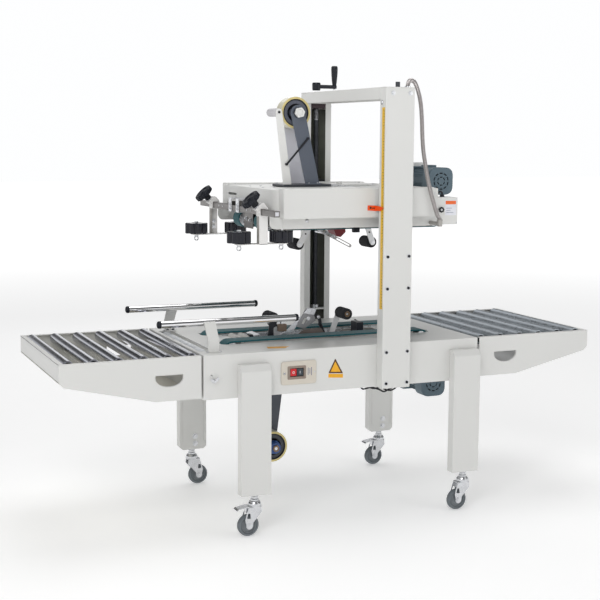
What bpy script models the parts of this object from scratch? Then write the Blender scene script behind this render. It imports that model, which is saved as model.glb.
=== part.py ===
"""Carton sealer machine with top and bottom drive belts, two tape units and two roller tables.

Metres, +Z up. +X is the way the cartons travel (infeed at -X, outfeed at +X) and -Y is the
operator's side. The origin is on the floor under the middle of the machine.
"""
import bpy
import bmesh
from math import atan2, cos, pi, radians, sin
from mathutils import Matrix, Vector

# ---------------------------------------------------------------- driving dimensions
GAP = 0.0003                    # clearance between pieces that touch
SHEET = 0.003                   # folded sheet steel

BED_HALF_X = 0.500
BED_HALF_Y = 0.304
DECK_Z = 0.5975                 # top of the bed's deck
BED_BOTTOM_Z = 0.4535

TABLE_GAP = 0.007               # between the bed and each roller table
TABLE_END_X = 0.958
TABLE_DEEP_BOTTOM_Z = 0.4605    # underside of a table's cheek next to the bed
TABLE_FLAT_X = 0.657            # where the cheek's underside starts to rise
TABLE_SHALLOW_BOTTOM_Z = 0.5315
ROLLER_COUNT = 6
ROLLER_PITCH = 0.0788
FIRST_ROLLER_X = 0.530
ROLLER_RADIUS = 0.019
ROLLER_HALF_LENGTH = 0.2740
ROLLER_PROUD = 0.0065           # height of a roller's top above the deck

PORTAL_X = (0.108, 0.213)       # columns and top beam
COLUMN_OUTER_Y = 0.3465
COLUMN_TOP_Z = 1.444
COLUMN_LIP = 0.023
BEAM_DEPTH = 0.039
SCREW_X = 0.1605
SCREW_Y = 0.3255
SCREW_RADIUS = 0.010
SCREW_BORE_RADIUS = 0.0112
SCREW_BOTTOM_Z = 0.620

LEG_WIDTH = 0.103
LEG_DEPTH = 0.037
LEG_TOP_Z = 0.562
LEG_CHAMFER = 0.020
LEG_BOTTOM_Z = 0.135
LEG_CENTRE_X = (-0.335, 0.4395)  # infeed pair, outfeed pair

WHEEL_RADIUS = 0.0365
WHEEL_HALF_WIDTH = 0.012
CASTER_TRAIL = 0.023

BELT_Y = 0.100                  # centre line of each belt, either side of the middle
BELT_HALF_WIDTH = 0.0275
BELT_THICKNESS = 0.003
BELT_LOOP_RADIUS = 0.029        # outside of the belt round its pulleys
LOWER_BELT_Z = 0.605            # carrying face of the lower belts
LOWER_BELT_X = (-0.368, 0.399)
UPPER_BELT_Z = 0.970            # carrying face of the upper belts
UPPER_BELT_X = (-0.243, 0.445)

HEAD_X = (-0.238, 0.361)
HEAD_HALF_Y = 0.250
HEAD_TOP_Z = 1.112
HEAD_BOTTOM_Z = 0.985
HEAD_SKIRT_X = -0.256           # infeed end of the head's side plates
HEAD_SKIRT_TOP_Z = 1.030
COVER_X = (-0.224, 0.325)
COVER_HALF_Y = 0.290
COVER_Z = (1.020, 1.117)

MOTOR_RADIUS = 0.0475
UPPER_MOTOR_XZ = (0.429, 1.131)
UPPER_MOTOR_Y = (-0.150, 0.065)
LOWER_MOTOR_XZ = (0.415, 0.414)
LOWER_MOTOR_Y = (-0.150, 0.060)

UPPER_WIPER_X = -0.060          # axis of the upper tape unit's front roller
LOWER_WIPER_X = -0.152
WIPER_SPACING = 0.280
WIPER_REACH = 0.056             # roller axes stand this far beyond the belt face
WIPER_RADIUS = 0.020
WIPER_HALF_LENGTH = 0.034
FRONT_PIVOT = (0.052, 0.030)    # from the roller along X, and into the machine from the belt face
REAR_PIVOT = (-0.032, 0.030)
PIVOT_RADIUS = 0.005
TAPE_RADIUS = 0.054
TAPE_HALF_WIDTH = 0.024
UPPER_SPINDLE_XZ = (-0.070, 1.363)
LOWER_SPINDLE_XZ = (-0.150, 0.205)
GUIDE_ROLLER_AHEAD = 0.073      # from the spindle towards the infeed
GUIDE_ROLLER_RADIUS = 0.0125
PLATE_FRONT = 0.0370            # faces of the plates beside the roll, from the middle
PLATE_BACK = 0.0410

PRESS_BAR_X = -0.275
PRESS_BAR_Z = 1.041
PRESS_BAR_HALF = 0.010
PRESS_BAR_HALF_LENGTH = 0.360
PRESS_ARM_Y = 0.232
PRESS_ROLLER_Y = 0.215
PRESS_ROLLER_SPREAD = 0.0735
PRESS_ROLLER_RADIUS = 0.041
PRESS_ROLLER_Z = (0.9406, 0.9786)

RAIL_RADIUS = 0.012
RAIL_Z = 0.687
RAIL_LENGTH = 0.487
RAIL_FOOT_X = -0.449            # middle of a side rail's foot
FRONT_RAIL_Y = -0.203
REAR_RAIL_Y = 0.172

# the switch on the front wall, ranges in X and in Z
SWITCH_PLATE = ((-0.237, -0.113), (0.483, 0.560))
SWITCH_WINDOW = ((-0.214, -0.152), (0.502, 0.543))
BUTTON_Z = (0.511, 0.535)
STOP_X = (-0.2045, -0.1835)
START_X = (-0.1820, -0.1600)
BUTTON_FACE_Y = -0.3085
BUTTON_BACK_Y = -0.290


# ---------------------------------------------------------------- shapes
def clear_scene():
    for thing in list(bpy.data.objects):
        bpy.data.objects.remove(thing, do_unlink=True)


def place(axis, a, b, along):
    """A point from two coordinates across an axis and one along it."""
    if axis == "x":
        return Vector((along, a, b))
    if axis == "y":
        return Vector((a, along, b))
    return Vector((a, b, along))


def prism(outline, axis, low, high):
    """A closed outline, in the two coordinates across the axis, drawn out from low to high."""
    bm = bmesh.new()
    first = [bm.verts.new(place(axis, a, b, low)) for a, b in outline]
    second = [bm.verts.new(place(axis, a, b, high)) for a, b in outline]
    bm.faces.new(first)
    bm.faces.new(second)
    count = len(outline)
    for i in range(count):
        j = (i + 1) % count
        bm.faces.new((first[i], first[j], second[j], second[i]))
    bmesh.ops.recalc_face_normals(bm, faces=bm.faces)
    return bm


def box(x, y, z):
    return prism([(x[0], y[0]), (x[1], y[0]), (x[1], y[1]), (x[0], y[1])], "z", z[0], z[1])


def arc(a, b, radius, start, end, steps):
    """Points on an arc about (a, b), angles in degrees, both ends included."""
    angles = [radians(start + (end - start) * i / steps) for i in range(steps + 1)]
    return [(a + radius * cos(t), b + radius * sin(t)) for t in angles]


def circle(a, b, radius, sides):
    return arc(a, b, radius, 180 / sides, 360 - 180 / sides, sides - 1)


def cylinder(axis, centre, radius, low, high, sides=16):
    return prism(circle(centre[0], centre[1], radius, sides), axis, low, high)


def rod(start, end, radius, sides=10):
    """A cylinder between two points."""
    start, end = Vector(start), Vector(end)
    bm = cylinder("z", (0, 0), radius, 0, (end - start).length, sides)
    turn = Vector((0, 0, 1)).rotation_difference(end - start).to_matrix().to_4x4()
    bm.transform(Matrix.Translation(start) @ turn)
    return bm


def bar(start, end, half_width, axis, low, high, steps=6):
    """A flat bar with round ends, between two points across the axis."""
    lean = atan2(end[1] - start[1], end[0] - start[0]) * 180 / pi
    outline = arc(start[0], start[1], half_width, lean + 90, lean + 270, steps)
    outline += arc(end[0], end[1], half_width, lean - 90, lean + 90, steps)
    return prism(outline, axis, low, high)


def turned(profile, axis, centre, sides=16):
    """A profile of (radius, along) pairs, from axis to axis, turned about the axis."""
    bm = bmesh.new()
    rings = []
    for radius, along in profile:
        if radius == 0:
            rings.append([bm.verts.new(place(axis, centre[0], centre[1], along))])
        else:
            points = circle(centre[0], centre[1], radius, sides)
            rings.append([bm.verts.new(place(axis, a, b, along)) for a, b in points])
    for one, two in zip(rings, rings[1:]):
        for i in range(sides):
            j = (i + 1) % sides
            corners = [one[i % len(one)], one[j % len(one)], two[j % len(two)], two[i % len(two)]]
            bm.faces.new(list(dict.fromkeys(corners)))
    bmesh.ops.recalc_face_normals(bm, faces=bm.faces)
    return bm


# ---------------------------------------------------------------- pieces
def material(name, colour, roughness, metallic):
    mat = bpy.data.materials.get(name) or bpy.data.materials.new(name)
    mat.use_nodes = True
    shader = mat.node_tree.nodes["Principled BSDF"]
    shader.inputs["Base Color"].default_value = (*colour, 1)
    shader.inputs["Roughness"].default_value = roughness
    shader.inputs["Metallic"].default_value = metallic
    return mat


def shape_object(bm, collection):
    mesh = bpy.data.meshes.new("shape")
    bm.to_mesh(mesh)
    bm.free()
    thing = bpy.data.objects.new("shape", mesh)
    collection.objects.link(thing)
    return thing


def joined_mesh(shapes, cuts):
    """One mesh: the union of the shapes, less the cuts."""
    scene = bpy.context.scene.collection
    groups = []
    for name, solids in (("adds", shapes[1:]), ("cuts", cuts)):
        group = bpy.data.collections.new(name)
        scene.children.link(group)
        for solid in solids:
            shape_object(solid, group)
        groups.append(group)
    base = shape_object(shapes[0], scene)
    for group, operation in zip(groups, ("UNION", "DIFFERENCE")):
        if group.objects:
            step = base.modifiers.new(operation, "BOOLEAN")
            step.operation = operation
            step.operand_type = "COLLECTION"
            step.collection = group
            step.solver = "EXACT"
    view = bpy.context.evaluated_depsgraph_get()
    mesh = bpy.data.meshes.new_from_object(base.evaluated_get(view))
    for group in groups:
        for thing in list(group.objects):
            bpy.data.objects.remove(thing, do_unlink=True)
        bpy.data.collections.remove(group)
    bpy.data.objects.remove(base, do_unlink=True)
    return mesh


def piece(name, mat, parent, shapes, cuts=(), pivot=(0, 0, 0)):
    """A named object made of one solid, with its origin at pivot."""
    mesh = joined_mesh(list(shapes), list(cuts))
    mesh.name = name
    mesh.transform(Matrix.Translation(-Vector(pivot)))
    mesh.materials.clear()
    mesh.materials.append(mat)
    mesh.shade_smooth()
    mesh.set_sharp_from_angle(angle=radians(35))
    thing = bpy.data.objects.new(name, mesh)
    bpy.context.scene.collection.objects.link(thing)
    thing.parent = parent
    thing.location = Vector(pivot) - parent.location
    return thing


def empty(name, location=(0, 0, 0)):
    thing = bpy.data.objects.new(name, None)
    thing.location = location
    bpy.context.scene.collection.objects.link(thing)
    return thing


# ---------------------------------------------------------------- bed
def belt_carrier(x_range, face_z, inward, y):
    """Slide block, end pulleys and side plates that one belt runs round, inside its loop."""
    radius = BELT_LOOP_RADIUS
    axis_z = face_z + inward * radius
    inner = radius - BELT_THICKNESS - 0.001
    half = BELT_HALF_WIDTH + 0.004
    pulleys = (x_range[0] + radius, x_range[1] - radius)
    block_z = sorted((face_z + inward * (BELT_THICKNESS + GAP), axis_z + inward * 0.012))
    shapes = [box((pulleys[0] + 0.03, pulleys[1] - 0.03), (y - half, y + half), block_z)]
    for x in pulleys:
        shapes.append(cylinder("y", (x, axis_z), inner, y - half, y + half, 20))
    plate_z = sorted((face_z + inward * 0.0145, axis_z + inward * 0.020))
    plate_x = (pulleys[0] - 0.012, pulleys[1] + 0.012)
    for side in (-1, 1):
        edges = sorted((y + side * (BELT_HALF_WIDTH + 0.001), y + side * half))
        shapes.append(box(plate_x, edges, plate_z))
    return shapes


def belt(name, mat, parent, x_range, face_z, inward, y):
    """A flat belt as a closed loop round two pulleys."""
    axis_z = face_z + inward * BELT_LOOP_RADIUS
    left, right = x_range[0] + BELT_LOOP_RADIUS, x_range[1] - BELT_LOOP_RADIUS

    def loop(radius):
        return arc(left, axis_z, radius, 90, 270, 10) + arc(right, axis_z, radius, -90, 90, 10)

    edges = (y - BELT_HALF_WIDTH, y + BELT_HALF_WIDTH)
    outer = prism(loop(BELT_LOOP_RADIUS), "y", *edges)
    inner = prism(loop(BELT_LOOP_RADIUS - BELT_THICKNESS), "y", edges[0] - 0.01, edges[1] + 0.01)
    return piece(name, mat, parent, [outer], [inner])


def bed(mat, parent):
    skin = DECK_Z - SHEET
    outer = box((-BED_HALF_X, BED_HALF_X), (-BED_HALF_Y, BED_HALF_Y), (BED_BOTTOM_Z, DECK_Z))
    inside_x, inside_y = BED_HALF_X - SHEET, BED_HALF_Y - SHEET
    hollow = box((-inside_x, inside_x), (-inside_y, inside_y), (BED_BOTTOM_Z - 0.01, skin))
    shell = bmesh.new()
    shell.from_mesh(joined_mesh([outer], [hollow]))
    cuts = [box((-0.488, -0.442), (-0.226, 0.226), (skin - 0.01, DECK_Z + 0.01))]
    cuts.append(box((-0.300, 0.260), (-0.049, 0.049), (skin - 0.01, DECK_Z + 0.01)))
    slot_x = (LOWER_BELT_X[0] - 0.006, LOWER_BELT_X[1] + 0.006)
    for side in (-1, 1):
        slot_y = [side * BELT_Y - BELT_HALF_WIDTH - 0.0008, side * BELT_Y + BELT_HALF_WIDTH + 0.0008]
        cuts.append(box(slot_x, slot_y, (skin - 0.001, DECK_Z + 0.01)))
    parts = [shell]
    for x in (-0.425, 0.412):
        parts.append(box((x, x + 0.030), (-inside_y - 0.001, inside_y + 0.001), (0.500, 0.530)))
    parts.append(box((0.365, 0.465), (-inside_y - 0.001, inside_y + 0.001), (0.4625, 0.4685)))
    window_x, window_z = SWITCH_WINDOW
    plate_x, plate_z = SWITCH_PLATE
    parts.append(box(plate_x, (-0.3090, -0.3030), plate_z))
    parts.append(box((window_x[0] - 0.012, window_x[1] + 0.012), (-0.3020, -0.276), (0.492, 0.553)))
    cuts.append(box(window_x, (-0.320, -0.299), window_z))
    for x in (STOP_X, START_X):
        cuts.append(box((x[0] - 0.0005, x[1] + 0.0005), (-0.30, -0.284),
                        (BUTTON_Z[0] - 0.0005, BUTTON_Z[1] + 0.0005)))
    for side in (-1, 1):
        parts += belt_carrier(LOWER_BELT_X, LOWER_BELT_Z, -1, side * BELT_Y)
    for x in (-0.28, 0.30):
        for side in (-1, 1):
            low, high = sorted((side * (BELT_Y + BELT_HALF_WIDTH + 0.002), side * (inside_y + 0.001)))
            parts.append(box((x, x + 0.030), (low, high), (0.556, 0.580)))
    return piece("bed", mat, parent, parts, cuts)


def table(name, mat, parent, side):
    """Roller table frame; side is -1 at the infeed and 1 at the outfeed."""
    near, far = side * (BED_HALF_X + TABLE_GAP), side * TABLE_END_X
    step = side * SHEET
    cheek = [(near, DECK_Z), (near, TABLE_DEEP_BOTTOM_Z), (side * TABLE_FLAT_X, TABLE_DEEP_BOTTOM_Z)]
    cheek += [(far - side * 0.012, TABLE_SHALLOW_BOTTOM_Z - 0.003), (far, TABLE_SHALLOW_BOTTOM_Z + 0.010)]
    cheek.append((far, DECK_Z))
    shapes = []
    for hand in (-1, 1):
        low, high = sorted((hand * BED_HALF_Y, hand * (BED_HALF_Y - SHEET)))
        shapes.append(prism(cheek, "y", low, high))
        low, high = sorted((hand * (BED_HALF_Y - 0.001), hand * (BED_HALF_Y - 0.014)))
        shapes.append(box(sorted((near, far)), (low, high), (DECK_Z - SHEET, DECK_Z)))
    width = (-BED_HALF_Y + 0.001, BED_HALF_Y - 0.001)
    shapes.append(box(sorted((near, near + step)), width, (TABLE_DEEP_BOTTOM_Z, 0.560)))
    shapes.append(box(sorted((far - step, far)), width, (TABLE_SHALLOW_BOTTOM_Z + 0.010, DECK_Z)))
    tray = cheek[1:5] + [(x, z + SHEET) for x, z in reversed(cheek[1:5])]
    shapes.append(prism(tray, "y", *width))
    for y in (-0.20, 0.20):
        low, high = sorted((side * (BED_HALF_X + GAP), near + step * 0.5))
        shapes.append(cylinder("x", (y, 0.510), 0.009, low, high, 10))
    hole_x, hole_top = side * 0.6125, 0.545
    hole = [(hole_x - 0.047, hole_top), (hole_x + 0.047, hole_top)]
    hole += [(hole_x + 0.047 * cos(radians(t)), hole_top - 0.014 - 0.027 * sin(radians(t)))
             for t in range(0, 181, 20)]
    cuts = [prism(hole, "y", -BED_HALF_Y - 0.01, BED_HALF_Y + 0.01)]
    return piece(name, mat, parent, shapes, cuts)


def table_roller(name, mat, parent, x):
    z = DECK_Z + ROLLER_PROUD - ROLLER_RADIUS
    tip, end = BED_HALF_Y - SHEET - GAP, ROLLER_HALF_LENGTH
    profile = [(0, -tip), (PIVOT_RADIUS, -tip), (PIVOT_RADIUS, -end), (ROLLER_RADIUS, -end)]
    profile += [(r, -along) for r, along in reversed(profile)]
    return piece(name, mat, parent, [turned(profile, "y", (x, z), 14)], pivot=(x, 0, z))


def switch_button(name, mat, parent, x):
    middle = ((x[0] + x[1]) / 2, BUTTON_FACE_Y, sum(BUTTON_Z) / 2)
    return piece(name, mat, parent, [box(x, (BUTTON_FACE_Y, BUTTON_BACK_Y), BUTTON_Z)], pivot=middle)


def motor(name, mat, parent, xz, y, foot):
    """Square-bodied gear motor lying along Y, its fan end at -Y; foot is the side it is fixed by."""
    r = MOTOR_RADIUS
    corner = r * 0.62
    body = [(xz[0] + a, xz[1] + b) for a, b in
            ((r, corner), (corner, r), (-corner, r), (-r, corner),
             (-r, -corner), (-corner, -r), (corner, -r), (r, -corner))]
    neck = [(xz[0] + (a - xz[0]) * 0.93, xz[1] + (b - xz[1]) * 0.93) for a, b in body]
    shapes = [prism(neck, "y", y[0] + 0.03, y[1])]
    shapes.append(prism(body, "y", y[0], y[0] + 0.052))
    shapes.append(prism(body, "y", y[1] - 0.060, y[1]))
    if foot:
        shapes.append(box((xz[0] - 0.04, xz[0] + 0.04), (y[0] + 0.06, y[1] - 0.01), foot))
    return piece(name, mat, parent, shapes)


# ---------------------------------------------------------------- legs and casters
def leg(name, mat, parent, x, side):
    """Box leg bolted to the outside of the bed, sloped at its top, slotted inside."""
    near, far = side * (BED_HALF_Y + GAP), side * (BED_HALF_Y + LEG_DEPTH)
    outline = [(near, LEG_BOTTOM_Z), (far, LEG_BOTTOM_Z), (far, LEG_TOP_Z - LEG_CHAMFER)]
    outline += [(far - side * 0.014, LEG_TOP_Z), (near, LEG_TOP_Z)]
    inner = [(near + side * SHEET, LEG_BOTTOM_Z + SHEET), (far - side * SHEET, LEG_BOTTOM_Z + SHEET)]
    inner += [(far - side * SHEET, LEG_TOP_Z - LEG_CHAMFER - SHEET), (near + side * SHEET, LEG_TOP_Z - LEG_CHAMFER)]
    low, high = x - LEG_WIDTH / 2, x + LEG_WIDTH / 2
    shapes = [prism(outline, "x", low, high)]
    cuts = [prism(inner, "x", low + SHEET, high - SHEET)]
    slot_y = sorted((near - side * 0.01, near + side * 0.01))
    for slot_x in (low + 0.014, high - 0.014):
        cuts.append(box((slot_x - 0.003, slot_x + 0.003), slot_y, (0.200, 0.430)))
    return piece(name, mat, parent, shapes, cuts)


def caster(name, fork_mat, wheel_mat, parent, x, y, trail_side, brake):
    """Swivel caster: its fork turns about the stem, its wheel about the axle."""
    axle_x = x + trail_side * CASTER_TRAIL
    swivel = empty(f"{name}_swivel_axis", (x, y, LEG_BOTTOM_Z))
    swivel.parent = parent
    head_z = 0.098
    shapes = [turned([(0, LEG_BOTTOM_Z - GAP), (0.009, LEG_BOTTOM_Z - GAP), (0.009, 0.121),
                      (0.019, 0.117), (0.0215, 0.108), (0.0215, head_z), (0, head_z)], "z", (x, y), 14)]
    plate = [x - 0.021, x + 0.021]
    plate[0 if trail_side < 0 else 1] += trail_side * 0.008
    shapes.append(box(plate, (y - 0.0195, y + 0.0195), (0.0955, 0.1005)))
    for hand in (-1, 1):
        low, high = sorted((y + hand * (WHEEL_HALF_WIDTH + 0.0025), y + hand * (WHEEL_HALF_WIDTH + 0.0050)))
        cheek = [(x - trail_side * 0.016, 0.099), (x + trail_side * 0.022, 0.099)]
        cheek += [(axle_x + trail_side * 0.010, WHEEL_RADIUS)]
        cheek += [(axle_x + trail_side * 0.010 * cos(radians(t)), WHEEL_RADIUS - 0.010 * sin(radians(t)))
                  for t in (45, 90, 135)]
        cheek += [(axle_x - trail_side * 0.010, WHEEL_RADIUS + 0.002)]
        shapes.append(prism(cheek, "y", low, high))
    tip = WHEEL_HALF_WIDTH + 0.0075
    shapes.append(cylinder("y", (axle_x, WHEEL_RADIUS), 0.0045, y - tip, y + tip, 10))
    if brake:
        pedal = [(x - 0.015, 0.100), (x - 0.030, 0.1005), (x - 0.062, 0.095), (x - 0.066, 0.089),
                 (x - 0.062, 0.089), (x - 0.034, 0.0945), (x - 0.015, 0.096)]
        shapes.append(prism(pedal, "y", y - 0.0165, y + 0.0165))
    piece(f"caster_fork_{name}", fork_mat, swivel, shapes, pivot=(x, y, LEG_BOTTOM_Z))
    r, half, bore = WHEEL_RADIUS, WHEEL_HALF_WIDTH, 0.0052
    tyre = [(0.024, -half), (0.029, -half + 0.002), (r, -half + 0.005)]
    tyre += [(a, -b) for a, b in reversed(tyre)]
    solid = turned([(0, -half)] + tyre + [(0, half)], "y", (axle_x, WHEEL_RADIUS), 20)
    solid.transform(Matrix.Translation((0, y, 0)))
    hole = cylinder("y", (axle_x, WHEEL_RADIUS), bore, y - half - 0.01, y + half + 0.01, 10)
    piece(f"caster_wheel_{name}", wheel_mat, swivel, [solid], [hole], pivot=(axle_x, y, WHEEL_RADIUS))


# ---------------------------------------------------------------- portal
def column(name, mat, parent, side, holes):
    """Lipped channel, open towards the head, with a closed top; bolted to the bed's side wall."""
    x0, x1 = PORTAL_X
    outer, inner = side * COLUMN_OUTER_Y, side * (BED_HALF_Y + GAP)
    height = (BED_BOTTOM_Z, COLUMN_TOP_Z)
    shapes = [box((x0, x1), sorted((outer, inner)), height)]
    hollow = box((x0 + SHEET, x1 - SHEET), sorted((outer - side * SHEET, inner + side * SHEET)),
                 (BED_BOTTOM_Z - 0.01, COLUMN_TOP_Z - SHEET))
    mouth = box((x0 + COLUMN_LIP, x1 - COLUMN_LIP), sorted((inner - side * 0.01, inner + side * 0.01)),
                (BED_BOTTOM_Z - 0.01, COLUMN_TOP_Z - BEAM_DEPTH - 0.010))
    cuts = [hollow, mouth]
    for (x, y), radius in holes:
        cuts.append(cylinder("z", (x, y), radius, COLUMN_TOP_Z - 0.01, COLUMN_TOP_Z + 0.01, 14))
    return piece(name, mat, parent, shapes, cuts)


def top_beam(mat, parent):
    half = BED_HALF_Y - GAP
    z = (COLUMN_TOP_Z - BEAM_DEPTH, COLUMN_TOP_Z)
    shapes = [box(PORTAL_X, (-half, half), z)]
    hollow = box((PORTAL_X[0] + SHEET, PORTAL_X[1] - SHEET), (-half + SHEET, half - SHEET),
                 (z[0] - 0.01, z[1] - SHEET))
    return piece("top_beam", mat, parent, shapes, [hollow])


def lead_screw_front(mat, parent):
    y = -SCREW_Y
    solid = cylinder("z", (SCREW_X, y), SCREW_RADIUS, SCREW_BOTTOM_Z, COLUMN_TOP_Z + 0.017, 12)
    return piece("lead_screw_front", mat, parent, [solid], pivot=(SCREW_X, y, COLUMN_TOP_Z))


def crank_screw(mat, parent):
    """Rear lead screw with the hand crank on its top end."""
    y, throw = SCREW_Y, 0.0735
    shapes = [cylinder("z", (SCREW_X, y), SCREW_RADIUS, SCREW_BOTTOM_Z, 1.480, 12)]
    shapes.append(cylinder("z", (SCREW_X, y), 0.0160, COLUMN_TOP_Z + 0.009, 1.482, 14))
    shapes.append(bar((SCREW_X, y), (SCREW_X + throw, y), 0.0100, "z", 1.4605, 1.4735))
    grip = [(0, 1.4690), (0.0090, 1.4690), (0.0090, 1.480), (0.0110, 1.500), (0.0125, 1.5385),
            (0.0105, 1.5445), (0, 1.5445)]
    shapes.append(turned(grip, "z", (SCREW_X + throw, y), 14))
    return piece("crank_screw", mat, parent, shapes, pivot=(SCREW_X, y, COLUMN_TOP_Z))


# ---------------------------------------------------------------- head
def head_housing(mat, parent):
    """Down-facing tray with side covers, belt carriers and a nut block at each column."""
    x0, x1 = HEAD_X
    y = HEAD_HALF_Y
    shapes = [box((x0, x1), (-y, y), (HEAD_TOP_Z - SHEET, HEAD_TOP_Z))]
    shapes.append(box((x0, x0 + SHEET), (-y, y), (1.034, HEAD_TOP_Z)))
    shapes.append(box((x1 - SHEET, x1), (-y, y), (1.044, HEAD_TOP_Z)))
    side_outline = [(HEAD_SKIRT_X, HEAD_BOTTOM_Z), (x1, HEAD_BOTTOM_Z), (x1, HEAD_TOP_Z),
                    (x0, HEAD_TOP_Z), (x0, HEAD_SKIRT_TOP_Z), (HEAD_SKIRT_X, HEAD_SKIRT_TOP_Z)]
    cuts = []
    for side in (-1, 1):
        shapes.append(prism(side_outline, "y", *sorted((side * y, side * (y - SHEET)))))
        shapes.append(box(COVER_X, sorted((side * (y - 0.001), side * COVER_HALF_Y)), COVER_Z))
        cuts.append(box((COVER_X[0] + SHEET, COVER_X[1] - SHEET),
                        sorted((side * (y + 0.0005), side * (COVER_HALF_Y - SHEET))),
                        (COVER_Z[0] - 0.01, COVER_Z[1] - SHEET)))
        shapes += belt_carrier(UPPER_BELT_X, UPPER_BELT_Z, 1, side * BELT_Y)
        for x in (-0.20, 0.30):
            low, high = sorted((side * (BELT_Y - 0.031), side * (BELT_Y + 0.031)))
            for hand in (low, high - SHEET):
                shapes.append(box((x, x + 0.05), (hand, hand + SHEET), (1.005, HEAD_TOP_Z - 0.001)))
    cuts.append(box((UPPER_WIPER_X - 0.078, UPPER_WIPER_X + WIPER_SPACING + 0.023), (-0.047, 0.047),
                    (HEAD_TOP_Z - 0.01, HEAD_TOP_Z + 0.01)))
    # motor plate behind the upper motor, standing on the rear belt's carrier
    shapes.append(box((0.372, 0.486), (UPPER_MOTOR_Y[1] + GAP, BELT_Y - BELT_HALF_WIDTH - 0.0012), (1.045, 1.192)))
    shapes.append(box((0.350, 0.420), (UPPER_MOTOR_Y[1] + GAP, BELT_Y - BELT_HALF_WIDTH - 0.0012), (0.9865, 1.100)))
    return shapes, cuts


def nut_blocks():
    """Necks through the columns' mouths and the nut blocks that ride on the lead screws."""
    shapes, cuts = [], []
    for side in (-1, 1):
        y = sorted((side * (COVER_HALF_Y - 0.002), side * (SCREW_Y - 0.004)))
        shapes.append(box((SCREW_X - 0.025, SCREW_X + 0.025), y, (1.030, 1.105)))
        y = sorted((side * (BED_HALF_Y + 0.0045), side * (COLUMN_OUTER_Y - SHEET - 0.0010)))
        shapes.append(box((SCREW_X - 0.0475, SCREW_X + 0.0475), y, (1.010, 1.125)))
        cuts.append(cylinder("z", (SCREW_X, side * SCREW_Y), SCREW_BORE_RADIUS, 1.0, 1.14, 12))
    return shapes, cuts


def conduit_elbow():
    """Elbow that takes the conduit into the head's side plate."""
    x, y = 0.334, -0.3130
    return [cylinder("z", (x, y), 0.0105, 0.9835, 1.0035, 12),
            cylinder("y", (x, 0.9945), 0.0085, y, -HEAD_HALF_Y + 0.001, 12)]


def junction_box(mat, parent):
    x0 = HEAD_X[1] + GAP
    return piece("junction_box", mat, parent, [box((x0, 0.4445), (-0.242, -0.172), (0.9865, 1.0795))])


def conduit(mat, parent):
    """Flexible metal conduit from the top of the front column down to the head."""
    route = [(0.2015, -0.3165, 1.427), (0.2017, -0.3165, 1.446), (0.2050, -0.3155, 1.4600),
             (0.2130, -0.3120, 1.4670), (0.2225, -0.3075, 1.4675), (0.2335, -0.3040, 1.4620),
             (0.2440, -0.3015, 1.4460), (0.2545, -0.2995, 1.4190), (0.2615, -0.2985, 1.3890),
             (0.2655, -0.2980, 1.3560), (0.2680, -0.2980, 1.3190), (0.2705, -0.2980, 1.2770),
             (0.2750, -0.2985, 1.2340), (0.2825, -0.2995, 1.1920), (0.2910, -0.3005, 1.1500),
             (0.3035, -0.3025, 1.0990), (0.3150, -0.3055, 1.0600), (0.3260, -0.3095, 1.0250),
             (0.3328, -0.3122, 1.0130), (0.3340, -0.3130, 1.0055)]
    curve = bpy.data.curves.new("conduit", "CURVE")
    curve.dimensions = "3D"
    curve.bevel_depth = 0.0075
    curve.bevel_resolution = 2
    curve.use_fill_caps = True
    line = curve.splines.new("POLY")
    points = smooth_route(route, 2)
    line.points.add(len(points) - 1)
    for spot, point in zip(line.points, points):
        spot.co = (*point, 1)
    curve.materials.append(mat)
    thing = bpy.data.objects.new("conduit", curve)
    bpy.context.scene.collection.objects.link(thing)
    thing.parent = parent
    return thing


def smooth_route(route, steps):
    """Points along a Catmull-Rom curve through the route's points."""
    points = [Vector(p) for p in route]
    padded = [points[0] * 2 - points[1]] + points + [points[-1] * 2 - points[-2]]
    smooth = []
    for a, b, c, d in zip(padded, padded[1:], padded[2:], padded[3:]):
        for i in range(steps):
            t = i / steps
            smooth.append(0.5 * (2 * b + (c - a) * t + (2 * a - 5 * b + 4 * c - d) * t ** 2
                                 + (3 * b - a - 3 * c + d) * t ** 3))
    return smooth + [points[-1]]


# ---------------------------------------------------------------- tape units
class TapeUnit:
    """A tape unit's own frame: x from its front roller's axis, z into the machine from the belt face.

    The lower unit is the upper one turned over about X, so its y and z run the other way.
    """

    def __init__(self, x, face_z, into):
        self.x, self.face_z, self.into = x, face_z, into

    def at(self, x, z):
        return (self.x + x, self.face_z + self.into * z)

    def across(self, low, high):
        return sorted((self.into * low, self.into * high))

    def depth(self, low, high):
        return sorted((self.face_z + self.into * low, self.face_z + self.into * high))

    def span(self, low, high):
        return (self.x + low, self.x + high)


UPPER = TapeUnit(UPPER_WIPER_X, UPPER_BELT_Z, 1)
LOWER = TapeUnit(LOWER_WIPER_X, LOWER_BELT_Z, -1)


def tape_unit(name, mat, parent, unit, extra):
    """Cassette frame: side plates, cross rods and base plate; extra is what else is fixed to it."""
    shapes = []
    plate = [unit.at(-0.072, 0.020), unit.at(-0.050, 0.004), unit.at(0.292, 0.004),
             unit.at(0.300, 0.020), unit.at(0.300, 0.100), unit.at(0.255, 0.138),
             unit.at(0.175, 0.146), unit.at(-0.060, 0.146), unit.at(-0.072, 0.130)]
    for side in (-1, 1):
        shapes.append(prism(plate, "y", *sorted((side * 0.042, side * 0.045))))
    rods = [FRONT_PIVOT, (WIPER_SPACING + REAR_PIVOT[0], REAR_PIVOT[1]), (-0.055, 0.110), (0.12, 0.118)]
    for x, z in rods:
        shapes.append(cylinder("y", unit.at(x, z), PIVOT_RADIUS, -0.043, 0.043, 12))
    shapes.append(box(unit.span(-0.065, 0.115), (-0.055, 0.055), unit.depth(0.1424, 0.1505)))
    return piece(name, mat, parent, shapes + extra)


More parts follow.
